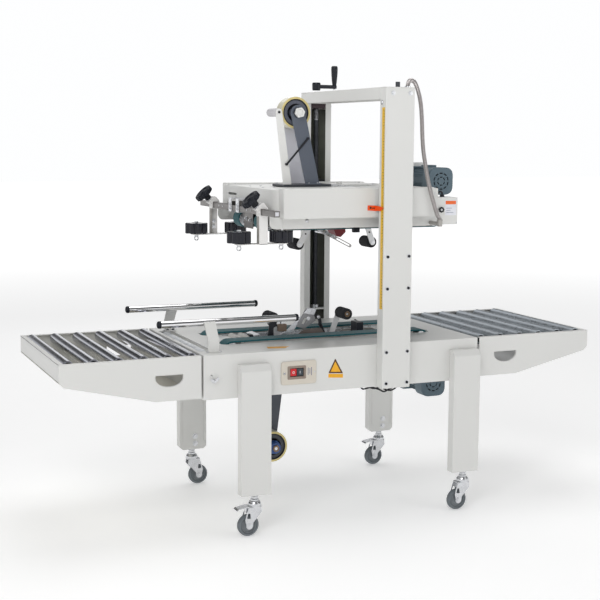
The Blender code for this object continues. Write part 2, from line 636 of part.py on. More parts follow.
def spindle_and_guide(spindle):
    """The tape roll's spindle and the guide roller beside it, both fixed to the plate behind the roll."""
    guide = (spindle[0] - GUIDE_ROLLER_AHEAD, spindle[1])
    return [cylinder("y", spindle, 0.0060, -0.052, PLATE_BACK - 0.003, 12),
            cylinder("y", guide, GUIDE_ROLLER_RADIUS, -0.033, PLATE_BACK - 0.003, 14)]


def upper_arms():
    """Leaning arm in front of the roll, plate behind it and the bar that carries the guide roller."""
    x, z = UPPER_SPINDLE_XZ
    foot_z = HEAD_TOP_Z + 0.004
    front = bar((x + 0.056, foot_z), (x, z), 0.026, "y", -PLATE_BACK - 0.001, -PLATE_FRONT, 8)
    plate = prism([(x + 0.075, foot_z)] + arc(x, z, 0.034, 0, 180, 8) + [(x - 0.008, foot_z)],
                  "y", PLATE_FRONT, PLATE_BACK)
    guide_x = x - GUIDE_ROLLER_AHEAD
    guide_bar = prism([(x - 0.0205, foot_z)] + arc(guide_x + 0.004, z, 0.012, 0, 180, 8)
                      + [(x - 0.052, foot_z)], "y", -PLATE_FRONT - 0.002, -PLATE_FRONT)
    link = cylinder("y", (guide_x, z), 0.0050, -PLATE_FRONT - 0.001, 0, 12)
    return [front, plate, guide_bar, link] + spindle_and_guide(UPPER_SPINDLE_XZ)


def lower_arm():
    """Tapering arm behind the roll, hanging from the cassette under the bed."""
    x, z = LOWER_SPINDLE_XZ
    foot_z = BED_BOTTOM_Z + 0.006
    outline = [(x - 0.040, foot_z), (x + 0.068, foot_z)] + arc(x, z, 0.036, 0, -180, 8)
    guide_arm = bar((x, z), (x - GUIDE_ROLLER_AHEAD, z), 0.016, "y", PLATE_FRONT, PLATE_BACK)
    arm = prism(outline, "y", PLATE_FRONT, PLATE_BACK)
    return [arm, guide_arm] + spindle_and_guide(LOWER_SPINDLE_XZ) + deck_lugs()


def deck_lugs():
    """Ears by which the lower tape unit rests on the deck at both ends of its slot."""
    z = (DECK_Z + GAP, DECK_Z + 0.0035)
    ends = ((-0.315, LOWER.x - 0.040), (LOWER.x + 0.275, 0.275))
    return [box(x, sorted((side * 0.042, side * 0.048)), z) for x in ends for side in (-1, 1)]


def wiper(name, mat, parent, unit, roller_x, pivot):
    """Sprung arm with a wiping roller; it swings about the pivot rod."""
    roller = unit.at(roller_x, -WIPER_REACH)
    hinge = unit.at(roller_x + pivot[0], pivot[1])
    low, high = unit.across(-0.0405, -0.0370)
    shapes = [bar(hinge, roller, 0.0105, "y", low, high)]
    low, high = unit.across(-0.0380, -0.0200)
    shapes.append(cylinder("y", hinge, 0.0105, low, high, 12))
    shapes.append(cylinder("y", roller, 0.006, *unit.across(-0.0385, -0.030), 10))
    shapes.append(cylinder("y", roller, WIPER_RADIUS, -WIPER_HALF_LENGTH, WIPER_HALF_LENGTH, 18))
    cuts = [cylinder("y", hinge, PIVOT_RADIUS + 0.0008, -0.06, 0.06, 12)]
    return piece(name, mat, parent, shapes, cuts, pivot=(hinge[0], 0, hinge[1]))


def tape_roll(name, mat, parent, spindle):
    half = TAPE_HALF_WIDTH
    shapes = [cylinder("y", spindle, TAPE_RADIUS, -half, half, 28)]
    cuts = [cylinder("y", spindle, 0.0068, -0.06, 0.06, 12)]
    return piece(name, mat, parent, shapes, cuts, pivot=(spindle[0], 0, spindle[1]))


# ---------------------------------------------------------------- carton guides
def press_bar(mat, parent):
    """Square cross bar in front of the head's nose, on two brackets."""
    x, z, half = PRESS_BAR_X, PRESS_BAR_Z, PRESS_BAR_HALF
    shapes = [box((x - half, x + half), (-PRESS_BAR_HALF_LENGTH, PRESS_BAR_HALF_LENGTH), (z - half, z + half))]
    for y in (-0.035, 0.035):
        shapes.append(box((x - 0.002, HEAD_X[0] - GAP), (y - 0.012, y + 0.012), (z - 0.004, z + 0.036)))
    return piece("press_bar", mat, parent, shapes)


def press_arm(name, mat, parent, side):
    """Sliding arm clamped on the cross bar, with the axles of two upright rollers."""
    x, z, y = PRESS_BAR_X, PRESS_BAR_Z, side * PRESS_ARM_Y
    grip = PRESS_BAR_HALF + 0.0005
    wall = grip + 0.004
    shapes = [box((x - wall, x + wall), (y - 0.013, y + 0.013), (z - wall, z + wall))]
    strip_z = PRESS_ROLLER_Z[0] - 0.0006
    plate_y = sorted((y + side * 0.003, y + side * 0.013))
    shapes.append(box((x - 0.014, x + 0.014), plate_y, (strip_z - 0.004, z - grip - 0.001)))
    axle_y = side * PRESS_ROLLER_Y
    low, high = sorted((axle_y - side * 0.011, y + side * 0.013))
    shapes.append(box((x - 0.088, x + 0.088), (low, high), (strip_z - 0.004, strip_z)))
    for hand in (-1, 1):
        axle = (x + hand * PRESS_ROLLER_SPREAD, axle_y)
        shapes.append(cylinder("z", axle, 0.005, strip_z - 0.014, PRESS_ROLLER_Z[1] + 0.003, 10))
    toward = Vector((-1, 0, 1)).normalized()
    middle = Vector((x, y, z))
    shapes.append(rod(middle + toward * (wall - 0.001), middle + toward * 0.052, 0.0055, 10))
    shapes.append(rod(middle + toward * 0.048, middle + toward * 0.066, 0.034, 16))
    cuts = [box((x - grip, x + grip), (y - 0.05, y + 0.05), (z - grip, z + grip))]
    return piece(name, mat, parent, shapes, cuts, pivot=(x, y, z))


def press_roller(name, mat, parent, x, y):
    shapes = [cylinder("z", (x, y), PRESS_ROLLER_RADIUS, *PRESS_ROLLER_Z, 20)]
    cuts = [cylinder("z", (x, y), 0.0058, 0.9, 1.0, 10)]
    return piece(name, mat, parent, shapes, cuts, pivot=(x, y, PRESS_ROLLER_Z[0]))


def side_rail(name, mat, parent, y, side):
    """Guide tube on a bent strip whose foot slides across the deck."""
    start = RAIL_FOOT_X - 0.172
    deck = DECK_Z + GAP
    foot_y = y + side * 0.052
    t = 0.0035
    strip = [(foot_y + side * 0.010, deck), (foot_y + side * 0.010, deck + t), (foot_y, deck + t),
             (foot_y, deck + 0.038), (y + side * (RAIL_RADIUS + 0.001), RAIL_Z + 0.004),
             (y + side * (RAIL_RADIUS - 0.003), RAIL_Z + 0.004), (y + side * (RAIL_RADIUS - 0.003), RAIL_Z - 0.003),
             (foot_y - side * t, deck + 0.037), (foot_y - side * t, deck + t),
             (foot_y - side * 0.026, deck + t), (foot_y - side * 0.026, deck)]
    shapes = [prism(strip, "x", RAIL_FOOT_X - 0.019, RAIL_FOOT_X + 0.019)]
    shapes.append(cylinder("x", (y, RAIL_Z), RAIL_RADIUS, start, start + RAIL_LENGTH, 14))
    return piece(name, mat, parent, shapes, pivot=(RAIL_FOOT_X, foot_y, DECK_Z))


# ---------------------------------------------------------------- the machine
def build():
    clear_scene()
    paint = material("powder_coat", (0.74, 0.74, 0.71), 0.42, 0.0)
    belt_mat = material("belt", (0.012, 0.115, 0.135), 0.70, 0.0)
    zinc = material("zinc_plate", (0.62, 0.63, 0.64), 0.32, 1.0)
    steel = material("steel", (0.55, 0.56, 0.58), 0.35, 1.0)
    chrome = material("chrome", (0.78, 0.78, 0.80), 0.12, 1.0)
    screw_mat = material("black_steel", (0.03, 0.03, 0.035), 0.45, 0.6)
    slate = material("motor_enamel", (0.10, 0.15, 0.18), 0.45, 0.0)
    black = material("black_plastic", (0.02, 0.02, 0.024), 0.50, 0.0)
    rubber = material("black_rubber", (0.025, 0.025, 0.028), 0.75, 0.0)
    grey_rubber = material("grey_rubber", (0.14, 0.16, 0.18), 0.65, 0.0)
    tape = material("tape", (0.80, 0.70, 0.38), 0.35, 0.0)
    red = material("red_plastic", (0.62, 0.02, 0.03), 0.40, 0.0)
    grey_paint = material("slate_paint", (0.13, 0.15, 0.19), 0.50, 0.0)
    hose = material("metal_conduit", (0.50, 0.49, 0.48), 0.40, 0.9)

    frame, head = empty("frame"), empty("head")

    bed(paint, frame)
    for place_name, side in (("infeed", -1), ("outfeed", 1)):
        table(f"{place_name}_table", paint, frame, side)
        for i in range(ROLLER_COUNT):
            x = side * (FIRST_ROLLER_X + i * ROLLER_PITCH)
            table_roller(f"{place_name}_roller_{i + 1}", zinc, frame, x)
    corners = (("front_infeed", 0, -1, -1, True), ("front_outfeed", 1, -1, -1, False),
               ("rear_infeed", 0, 1, 1, False), ("rear_outfeed", 1, 1, -1, True))
    for name, which, side, trail_side, brake in corners:
        x, y = LEG_CENTRE_X[which], side * (BED_HALF_Y + LEG_DEPTH / 2)
        leg(f"leg_{name}", paint, frame, x, side)
        caster(name, steel, grey_rubber, frame, x, y, trail_side, brake)
    screw_hole = SCREW_RADIUS + 0.0015
    column("column_front", paint, frame, -1,
           [((SCREW_X, -SCREW_Y), screw_hole), ((0.2015, -0.3165), 0.0082)])
    column("column_rear", paint, frame, 1, [((SCREW_X, SCREW_Y), screw_hole)])
    top_beam(paint, frame)
    lead_screw_front(screw_mat, frame)
    crank_screw(screw_mat, frame)
    conduit(hose, frame)
    motor("lower_motor", slate, frame, LOWER_MOTOR_XZ, LOWER_MOTOR_Y, (0.4580, 0.4622))
    switch_button("stop_button", red, frame, STOP_X)
    switch_button("start_button", black, frame, START_X)
    for name, side in (("front", -1), ("rear", 1)):
        belt(f"lower_belt_{name}", belt_mat, frame, LOWER_BELT_X, LOWER_BELT_Z, -1, side * BELT_Y)
        belt(f"upper_belt_{name}", belt_mat, head, UPPER_BELT_X, UPPER_BELT_Z, 1, side * BELT_Y)
    side_rail("side_rail_front", chrome, frame, FRONT_RAIL_Y, -1)
    side_rail("side_rail_rear", chrome, frame, REAR_RAIL_Y, 1)

    shapes, cuts = head_housing(paint, head)
    more_shapes, more_cuts = nut_blocks()
    piece("head_housing", paint, head, shapes + more_shapes + conduit_elbow(), cuts + more_cuts)
    motor("upper_motor", slate, head, UPPER_MOTOR_XZ, UPPER_MOTOR_Y, None)
    junction_box(paint, head)

    tape_unit("upper_tape_unit", grey_paint, head, UPPER, upper_arms())
    tape_unit("lower_tape_unit", grey_paint, frame, LOWER, lower_arm())
    for name, unit, spindle, owner in (("upper", UPPER, UPPER_SPINDLE_XZ, head),
                                       ("lower", LOWER, LOWER_SPINDLE_XZ, frame)):
        tape_roll(f"{name}_tape_roll", tape, owner, spindle)
        wiper(f"{name}_front_wiper", rubber, owner, unit, 0, FRONT_PIVOT)
        wiper(f"{name}_rear_wiper", rubber, owner, unit, WIPER_SPACING, REAR_PIVOT)

    press_bar(zinc, head)
    for name, side in (("front", -1), ("rear", 1)):
        press_arm(f"press_arm_{name}", zinc, head, side)
        for place_name, hand in (("infeed", -1), ("outfeed", 1)):
            press_roller(f"press_roller_{name}_{place_name}", black, head,
                         PRESS_BAR_X + hand * PRESS_ROLLER_SPREAD, side * PRESS_ROLLER_Y)


build()
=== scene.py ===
from math import atan2, cos, degrees, pi, radians, sin, tan

import bmesh
import bpy
from mathutils import Matrix, Vector, geometry


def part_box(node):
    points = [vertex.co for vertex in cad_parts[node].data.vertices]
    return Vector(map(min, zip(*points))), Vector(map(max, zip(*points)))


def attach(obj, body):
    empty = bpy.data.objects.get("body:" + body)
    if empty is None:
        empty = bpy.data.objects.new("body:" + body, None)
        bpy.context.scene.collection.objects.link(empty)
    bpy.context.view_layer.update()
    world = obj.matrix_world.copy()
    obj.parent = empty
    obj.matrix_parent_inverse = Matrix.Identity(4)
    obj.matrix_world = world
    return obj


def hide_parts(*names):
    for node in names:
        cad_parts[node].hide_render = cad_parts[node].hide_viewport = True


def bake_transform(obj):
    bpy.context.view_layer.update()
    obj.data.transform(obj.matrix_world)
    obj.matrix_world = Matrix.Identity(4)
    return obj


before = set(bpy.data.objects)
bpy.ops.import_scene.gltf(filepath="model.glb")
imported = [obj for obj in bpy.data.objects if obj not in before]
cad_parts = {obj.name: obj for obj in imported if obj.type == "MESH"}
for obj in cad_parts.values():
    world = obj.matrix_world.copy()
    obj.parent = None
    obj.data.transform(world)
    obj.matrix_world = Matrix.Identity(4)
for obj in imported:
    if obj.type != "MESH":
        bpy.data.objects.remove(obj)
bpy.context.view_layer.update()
SHARP = 0.0001       # edge width that leaves a cutter or a printed patch square


# ---------------------------------------------------------------- camera, light and floor
def studio():
    """Long-lens camera on the operator's side, big soft lights and a pale floor."""
    scene = bpy.context.scene
    scene.view_settings.view_transform = "Standard"
    camera = bpy.data.objects.new("camera", bpy.data.cameras.new("camera"))
    camera.data.lens = 74.47
    camera.data.sensor_width = 36.0
    camera.location = (-1.743, -3.957, 1.284)
    aim = Matrix.Rotation(radians(-23.28), 3, "Z") @ Matrix.Rotation(radians(90 - 7.52), 3, "X")
    camera.rotation_euler = (aim @ Matrix.Rotation(radians(0.36), 3, "Z")).to_euler()
    scene.collection.objects.link(camera)
    scene.camera = camera

    scene.world = sky()
    for name, place, power, size in (("key", (-2.6, -3.4, 3.4), 70, 2.2), ("fill", (2.8, -3.0, 2.0), 16, 2.0),
                                     ("top", (0.2, 0.4, 4.0), 46, 2.4), ("back", (0.8, 3.6, 2.4), 12, 2.2)):
        lamp = bpy.data.lights.new(name, "AREA")
        lamp.energy = power
        lamp.size = size
        light = bpy.data.objects.new(name, lamp)
        light.location = place
        light.rotation_euler = (Vector((0, 0, 0.8)) - Vector(place)).to_track_quat("-Z", "Y").to_euler()
        scene.collection.objects.link(light)

    bm = bmesh.new()
    bmesh.ops.create_grid(bm, x_segments=1, y_segments=1, size=30)
    mesh = bpy.data.meshes.new("floor")
    bm.to_mesh(mesh)
    bm.free()
    floor = bpy.data.objects.new("floor", mesh)
    floor.location.z = -0.0005
    mesh.materials.append(floor_paint())
    scene.collection.objects.link(floor)


def sky():
    """A white horizon all round under a darker ceiling, which gives bright metal its dark bands."""
    world = bpy.data.worlds.new("studio")
    world.use_nodes = True
    nodes, links = world.node_tree.nodes, world.node_tree.links
    place = nodes.new("ShaderNodeTexCoord")
    parts = nodes.new("ShaderNodeSeparateXYZ")
    ramp = nodes.new("ShaderNodeValToRGB")
    links.new(place.outputs["Generated"], parts.inputs["Vector"])
    links.new(parts.outputs["Z"], ramp.inputs["Fac"])
    links.new(ramp.outputs["Color"], nodes["Background"].inputs["Color"])
    stops = ramp.color_ramp.elements
    stops[0].position, stops[1].position = 0.135, 0.95
    for stop, level in zip((stops[0], stops.new(0.24), stops.new(0.46), stops[-1]), (1.0, 0.07, 0.06, 0.42)):
        stop.color = (level * 0.99, level * 0.995, level, 1)
    return world


def floor_paint():
    """White floor that glows more with distance, so it meets the horizon without a line."""
    mat = surface("floor_paint", (0.86, 0.86, 0.86), 0.7, spread=0.005, grain=0.0, specular=0.0)
    nodes, links = mat.node_tree.nodes, mat.node_tree.links
    place = nodes.new("ShaderNodeTexCoord")
    away = nodes.new("ShaderNodeVectorMath")
    away.operation = "LENGTH"
    glow = nodes.new("ShaderNodeMapRange")
    for socket, value in (("From Min", 1.5), ("From Max", 10.0), ("To Min", 0.36), ("To Max", 0.88)):
        glow.inputs[socket].default_value = value
    links.new(place.outputs["Object"], away.inputs[0])
    links.new(away.outputs["Value"], glow.inputs["Value"])
    links.new(glow.outputs["Result"], nodes["Principled BSDF"].inputs["Emission Strength"])
    nodes["Principled BSDF"].inputs["Emission Color"].default_value = (1, 1, 1, 1)
    return mat


# ---------------------------------------------------------------- materials
def surface(name, colour, roughness, metallic=0.0, spread=0.05, patch=6.0, grain=0.1, grain_size=0.0006,
            stretch=(1, 1, 1), uneven=0.06, coat=0.0, specular=0.5, sheen=0.0):
    """A finish with slow colour change over patch (per metre), fine grain in relief and uneven gloss."""
    mat = bpy.data.materials.get(name)
    if mat:
        return mat
    mat = bpy.data.materials.new(name)
    mat.use_nodes = True
    nodes, links = mat.node_tree.nodes, mat.node_tree.links
    shader = nodes["Principled BSDF"]
    shader.inputs["Metallic"].default_value = metallic
    shader.inputs["Coat Weight"].default_value = coat
    shader.inputs["Specular IOR Level"].default_value = specular
    shader.inputs["Sheen Weight"].default_value = sheen
    place = nodes.new("ShaderNodeTexCoord")
    scale = nodes.new("ShaderNodeMapping")
    scale.inputs["Scale"].default_value = stretch
    links.new(place.outputs["Object"], scale.inputs["Vector"])

    slow = nodes.new("ShaderNodeTexNoise")
    slow.inputs["Scale"].default_value = patch
    slow.inputs["Detail"].default_value = 6
    links.new(scale.outputs["Vector"], slow.inputs["Vector"])
    ramp = nodes.new("ShaderNodeValToRGB")
    ramp.color_ramp.elements[0].position = 0.3
    ramp.color_ramp.elements[1].position = 0.7
    ramp.color_ramp.elements[0].color = (*[c * (1 - spread) for c in colour], 1)
    ramp.color_ramp.elements[1].color = (*[min(1, c * (1 + spread)) for c in colour], 1)
    links.new(slow.outputs["Fac"], ramp.inputs["Fac"])
    links.new(ramp.outputs["Color"], shader.inputs["Base Color"])

    gloss = nodes.new("ShaderNodeMapRange")
    gloss.inputs["From Min"].default_value = 0.3
    gloss.inputs["From Max"].default_value = 0.7
    gloss.inputs["To Min"].default_value = max(0.02, roughness - uneven)
    gloss.inputs["To Max"].default_value = min(1, roughness + uneven)
    fine = nodes.new("ShaderNodeTexNoise")
    fine.inputs["Scale"].default_value = 0.25 / grain_size
    fine.inputs["Detail"].default_value = 3
    links.new(scale.outputs["Vector"], fine.inputs["Vector"])
    links.new(slow.outputs["Fac"], gloss.inputs["Value"])
    links.new(gloss.outputs["Result"], shader.inputs["Roughness"])
    if grain:
        relief = nodes.new("ShaderNodeBump")
        relief.inputs["Strength"].default_value = grain
        relief.inputs["Distance"].default_value = grain_size * 0.5
        links.new(fine.outputs["Fac"], relief.inputs["Height"])
        links.new(relief.outputs["Normal"], shader.inputs["Normal"])
    return mat


def paint():
    return surface("powder_coat_grey_white", (0.735, 0.735, 0.715), 0.4, spread=0.018, patch=2.5,
                   grain=0.22, grain_size=0.0009, coat=0.12)


# Darker copy of the grey-white powder coat: painted shade for parts inside the bed and the tables.
def shaded_paint():
    return surface("powder_coat_painted_shade", (0.66, 0.655, 0.64), 0.5, spread=0.06, patch=5, grain=0.2)


def teal_belt():
    return surface("teal_rough_top_belt", (0.018, 0.115, 0.135), 0.85, spread=0.38, patch=260, grain=0.9,
                   grain_size=0.0016, specular=0.2, sheen=0.25)


def chrome():
    return surface("polished_chrome", (0.8, 0.8, 0.81), 0.09, metallic=1.0, spread=0.02, patch=12,
                   grain=0.0, uneven=0.04)


def zinc():
    return surface("bright_zinc", (0.66, 0.67, 0.69), 0.28, metallic=1.0, spread=0.08, patch=45,
                   grain=0.12, grain_size=0.0005, uneven=0.08)


def galvanised():
    return surface("galvanised_tube", (0.46, 0.5, 0.54), 0.36, metallic=0.85, spread=0.12, patch=60,
                   grain=0.1, grain_size=0.0008, uneven=0.1)


def dark_chrome():
    return surface("roller_chrome", (0.44, 0.45, 0.5), 0.17, metallic=1.0, spread=0.08, patch=60,
                   grain=0.05, grain_size=0.0008, uneven=0.05)


def tray_paint():
    return surface("powder_coat_tray", (0.82, 0.795, 0.7), 0.55, spread=0.08, patch=5, grain=0.2)


def brushed(name, stretch, colour=(0.6, 0.6, 0.61), roughness=0.3):
    return surface(name, colour, roughness, metallic=1.0, spread=0.1, patch=60, grain=0.25,
                   grain_size=0.0006, stretch=stretch, uneven=0.1)


def bar_steel():
    return brushed("bar_steel", (1, 0.05, 1), (0.4, 0.39, 0.38), 0.34)


def dark_bar_steel():
    return brushed("dark_bar_steel", (1, 0.04, 1), (0.2, 0.19, 0.185), 0.36)


def guide_roller_white():
    return surface("guide_roller_white", (0.6, 0.59, 0.61), 0.45, spread=0.03, patch=20, grain=0.1)


def guide_roller_cream():
    return bright("guide_roller_cream", (0.62, 0.61, 0.58), 0.4)


def black_plastic():
    return surface("black_moulded_plastic", (0.006, 0.008, 0.014), 0.4, spread=0.15, patch=40, grain=0.25,
                   grain_size=0.0005, specular=0.35)


def black_rubber():
    return surface("black_rubber", (0.01, 0.01, 0.013), 0.66, spread=0.3, patch=90, grain=0.35,
                   grain_size=0.0006, specular=0.35)


def black_steel():
    return surface("oiled_black_steel", (0.03, 0.031, 0.036), 0.38, metallic=0.7, spread=0.25, patch=60,
                   grain=0.2)


def slate_paint():
    return surface("slate_paint", (0.255, 0.272, 0.33), 0.42, spread=0.06, patch=14, grain=0.3,
                   grain_size=0.0007)


def motor_enamel():
    return surface("motor_enamel", (0.095, 0.14, 0.16), 0.4, spread=0.08, patch=18, grain=0.35,
                   grain_size=0.001)


def bright(name, colour, roughness=0.35, **more):
    return surface(name, colour, roughness, spread=more.pop("spread", 0.05), patch=more.pop("patch", 60),
                   grain=more.pop("grain", 0.08), **more)


# ---------------------------------------------------------------- outlines
def arc(a, b, radius, start, end, steps):
    """Points on an arc about (a, b), angles in degrees, both ends included."""
    turns = [radians(start + (end - start) * i / steps) for i in range(steps + 1)]
    return [(a + radius * cos(t), b + radius * sin(t)) for t in turns]


def circle(a, b, radius, sides=40):
    return arc(a, b, radius, 0, 360 - 360 / sides, sides - 1)


def rectangle(a, b):
    return [(a[0], b[0]), (a[1], b[0]), (a[1], b[1]), (a[0], b[1])]


def eased(outline, radius, steps=4):
    """A closed outline with its corners turned into curves that reach about radius along each side."""
    result = []
    count = len(outline)
    for i, point in enumerate(outline):
        here = Vector(point)
        back = Vector(outline[i - 1]) - here
        on = Vector(outline[(i + 1) % count]) - here
        reach = min(radius, back.length * 0.49, on.length * 0.49)
        start, end = here + back.normalized() * reach, here + on.normalized() * reach
        for k in range(steps + 1):
            t = k / steps
            result.append(tuple(start.lerp(here, t).lerp(here.lerp(end, t), t)))
    return result


def strip(start, end, half_width, steps=10):
    """Outline of a bar with round ends between two points."""
    lean = degrees(atan2(end[1] - start[1], end[0] - start[0]))
    outline = arc(start[0], start[1], half_width, lean + 90, lean + 270, steps)
    return outline + arc(end[0], end[1], half_width, lean - 90, lean + 90, steps)


def lobed(a, b, radius, lobes, depth, steps=8):
    """Outline of a hand knob: a circle with rounded lobes."""
    count = lobes * steps
    points = []
    for i in range(count):
        t = 2 * pi * i / count
        r = radius - depth * (0.5 - 0.5 * cos(lobes * t)) ** 2
        points.append((a + r * cos(t), b + r * sin(t)))
    return points


def area(loop):
    return sum(p[0] * q[1] - q[0] * p[1] for p, q in zip(loop, loop[1:] + loop[:1])) / 2


def wound(loop, anticlockwise):
    return list(loop) if (area(list(loop)) > 0) == anticlockwise else list(reversed(loop))


def inset(loop, distance):
    """The loop moved to its left by distance."""
    moved = []
    count = len(loop)
    for i in range(count):
        here = Vector(loop[i])
        one = (here - Vector(loop[i - 1])).normalized()
        two = (Vector(loop[(i + 1) % count]) - here).normalized()
        left_one, left_two = Vector((-one.y, one.x)), Vector((-two.y, two.x))
        middle = (left_one + left_two).normalized()
        moved.append(tuple(here + middle * distance / max(0.4, middle.dot(left_one))))
    return moved


def slack(loop):
    """How far the loop can be moved to its left before one of its sides shrinks to nothing."""
    count = len(loop)
    sides = [Vector(loop[(i + 1) % count]) - Vector(loop[i]) for i in range(count)]
    turns = [tan(sides[i - 1].angle_signed(sides[i], 0) / -2) for i in range(count)]
    most = 1.0
    for i, side in enumerate(sides):
        shrink = turns[i] + turns[(i + 1) % count]
        if shrink > 1e-6:
            most = min(most, side.length / shrink)
    return most


# ---------------------------------------------------------------- solids
def spot(axis, a, b, along):
    """A point from two coordinates across an axis and one along it."""
    if axis == "x":
        return Vector((along, a, b))
    if axis == "y":
        return Vector((a, along, b))
    return Vector((a, b, along))


def panel(loops, axis, low, high, edge=0.0008, steps=2):
    """A plate between two planes with rounded edges; the first loop is its outline, the rest its holes."""
    if isinstance(loops[0][0], (int, float)):
        loops = [loops]
    loops = [wound(loop, i == 0) for i, loop in enumerate(loops)]
    edge = min([edge, (high - low) * 0.45] + [slack(loop) * 0.9 for loop in loops])
    levels = []
    for k in range(steps + 1):
        turn = radians(90 * k / steps)
        levels.append((edge * (1 - sin(turn)), edge * (1 - cos(turn))))
    sections = [(shift, low + depth) for shift, depth in levels]
    sections += [(shift, high - depth) for shift, depth in reversed(levels)]
    bm = bmesh.new()
    rings = []
    for shift, along in sections:
        moved = [inset(loop, shift) if shift > 1e-7 else loop for loop in loops]
        rings.append([[bm.verts.new(spot(axis, a, b, along)) for a, b in loop] for loop in moved])
    for below, above in zip(rings, rings[1:]):
        for one, two in zip(below, above):
            for i in range(len(one)):
                j = (i + 1) % len(one)
                bm.faces.new((one[i], one[j], two[j], two[i]))
    for ring in (rings[0], rings[-1]):
        flat = [[Vector((*spot_on(axis, v.co), 0)) for v in loop] for loop in ring]
        verts = [v for loop in ring for v in loop]
        if len(ring) == 1:
            bm.faces.new(ring[0])
        else:
            for triangle in geometry.tessellate_polygon(flat):
                bm.faces.new([verts[i] for i in triangle])
    bmesh.ops.recalc_face_normals(bm, faces=bm.faces)
    return bm


def spot_on(axis, point):
    """The two coordinates of a point across an axis."""
    return {"x": (point.y, point.z), "y": (point.x, point.z), "z": (point.x, point.y)}[axis]


def block(x, y, z, edge=0.0008, corner=None, axis="z"):
    """A box with rounded edges; corner is the larger radius round the axis."""
    spans = {"x": (y, z, x), "y": (x, z, y), "z": (x, y, z)}[axis]
    outline = rectangle(spans[0], spans[1])
    outline = eased(outline, edge if corner is None else corner)
    return panel(outline, axis, spans[2][0], spans[2][1], edge)


def turned(profile, axis, centre, sides=40, edge=0.0):
    """A profile of (radius, along) pairs turned about an axis; edge rounds its corners."""
    if edge:
        inner = eased([(r, a) for r, a in profile], edge, 2)
        profile = [profile[0]] + inner[3:-3] + [profile[-1]]
    bm = bmesh.new()
    rings = []
    for radius, along in profile:
        if radius < 1e-7:
            rings.append([bm.verts.new(spot(axis, centre[0], centre[1], along))])
        else:
            points = circle(centre[0], centre[1], radius, sides)
            rings.append([bm.verts.new(spot(axis, a, b, along)) for a, b in points])
    for one, two in zip(rings, rings[1:]):
        for i in range(sides):
            j = (i + 1) % sides
            corners = [one[i % len(one)], one[j % len(one)], two[j % len(two)], two[i % len(two)]]
            corners = list(dict.fromkeys(corners))
            if len(corners) > 2:
                bm.faces.new(corners)
    bmesh.ops.recalc_face_normals(bm, faces=bm.faces)
    return bm


def drum(axis, centre, radius, low, high, edge=0.0008, sides=40):
    """A solid cylinder with rounded rims."""
    profile = [(0, low), (radius, low), (radius, high), (0, high)]
    return turned(profile, axis, centre, sides, edge)


def ring(axis, centre, inner, outer, low, high, edge=0.0006, sides=48):
    """A cylinder with a round hole through it."""
    return panel([circle(*centre, outer, sides), circle(*centre, inner, sides)], axis, low, high, edge)


def rod(start, end, radius, edge=0.0008, sides=20):
    """A cylinder between two points."""
    start, end = Vector(start), Vector(end)
    bm = drum("z", (0, 0), radius, 0, (end - start).length, edge, sides)
    aim = Vector((0, 0, 1)).rotation_difference(end - start).to_matrix().to_4x4()
    bm.transform(Matrix.Translation(start) @ aim)
    return bm


def swept(points, radius, sides=10, wave=0.0, pitch=0.005):
    """A tube along points; wave makes its radius rise and fall over pitch."""
    points = [Vector(p) for p in points]
    bm = bmesh.new()
    rings = []
    side = None
    length = 0.0
    for i, here in enumerate(points):
        along = (points[min(i + 1, len(points) - 1)] - points[max(i - 1, 0)]).normalized()
        if i:
            length += (here - points[i - 1]).length
        if side is None:
            side = along.orthogonal().normalized()
        side = (side - along * side.dot(along)).normalized()
        up = along.cross(side)
        r = radius + wave * cos(2 * pi * length / pitch)
        rings.append([bm.verts.new(here + (side * cos(2 * pi * k / sides) + up * sin(2 * pi * k / sides)) * r)
                      for k in range(sides)])
    for one, two in zip(rings, rings[1:]):
        for k in range(sides):
            m = (k + 1) % sides
            bm.faces.new((one[k], one[m], two[m], two[k]))
    bm.faces.new(rings[0])
    bm.faces.new(rings[-1])
    bmesh.ops.recalc_face_normals(bm, faces=bm.faces)
    return bm


def smooth_route(route, spacing):
    """Evenly spaced points along a Catmull-Rom curve through the route's points."""
    points = [Vector(p) for p in route]
    padded = [points[0] * 2 - points[1]] + points + [points[-1] * 2 - points[-2]]
    fine = []
    for a, b, c, d in zip(padded, padded[1:], padded[2:], padded[3:]):
        for i in range(24):
            t = i / 24
            fine.append(0.5 * (2 * b + (c - a) * t + (2 * a - 5 * b + 4 * c - d) * t ** 2
                               + (3 * b - a - 3 * c + d) * t ** 3))
    fine.append(points[-1])
    even = [fine[0]]
    left = spacing
    for one, two in zip(fine, fine[1:]):
        step = (two - one).length
        while step >= left:
            one = one.lerp(two, left / step)
            even.append(one)
            step = (two - one).length
            left = spacing
        left -= step
    return even + [fine[-1]]


def helix(axis_xy, z, radius, pitch, wire, sides=6, per_turn=14):
    """A thread: a thin helical ridge round an upright shaft."""
    turns = (z[1] - z[0]) / pitch
    count = int(turns * per_turn)
    points = []
    for i in range(count + 1):
        t = 2 * pi * turns * i / count
        points.append((axis_xy[0] + radius * cos(t), axis_xy[1] + radius * sin(t),
                       z[0] + (z[1] - z[0]) * i / count))
    return swept(points, wire, sides)


def moved(bm, matrix):
    bm.transform(matrix)
    if matrix.to_3x3().determinant() < 0:
        bmesh.ops.reverse_faces(bm, faces=bm.faces)
    return bm


def tilted(bm, centre, axis, angle):
    """The shape turned by angle, in degrees, about an axis through centre."""
    there = Matrix.Translation(Vector(centre))
    return moved(bm, there @ Matrix.Rotation(radians(angle), 4, axis) @ there.inverted())


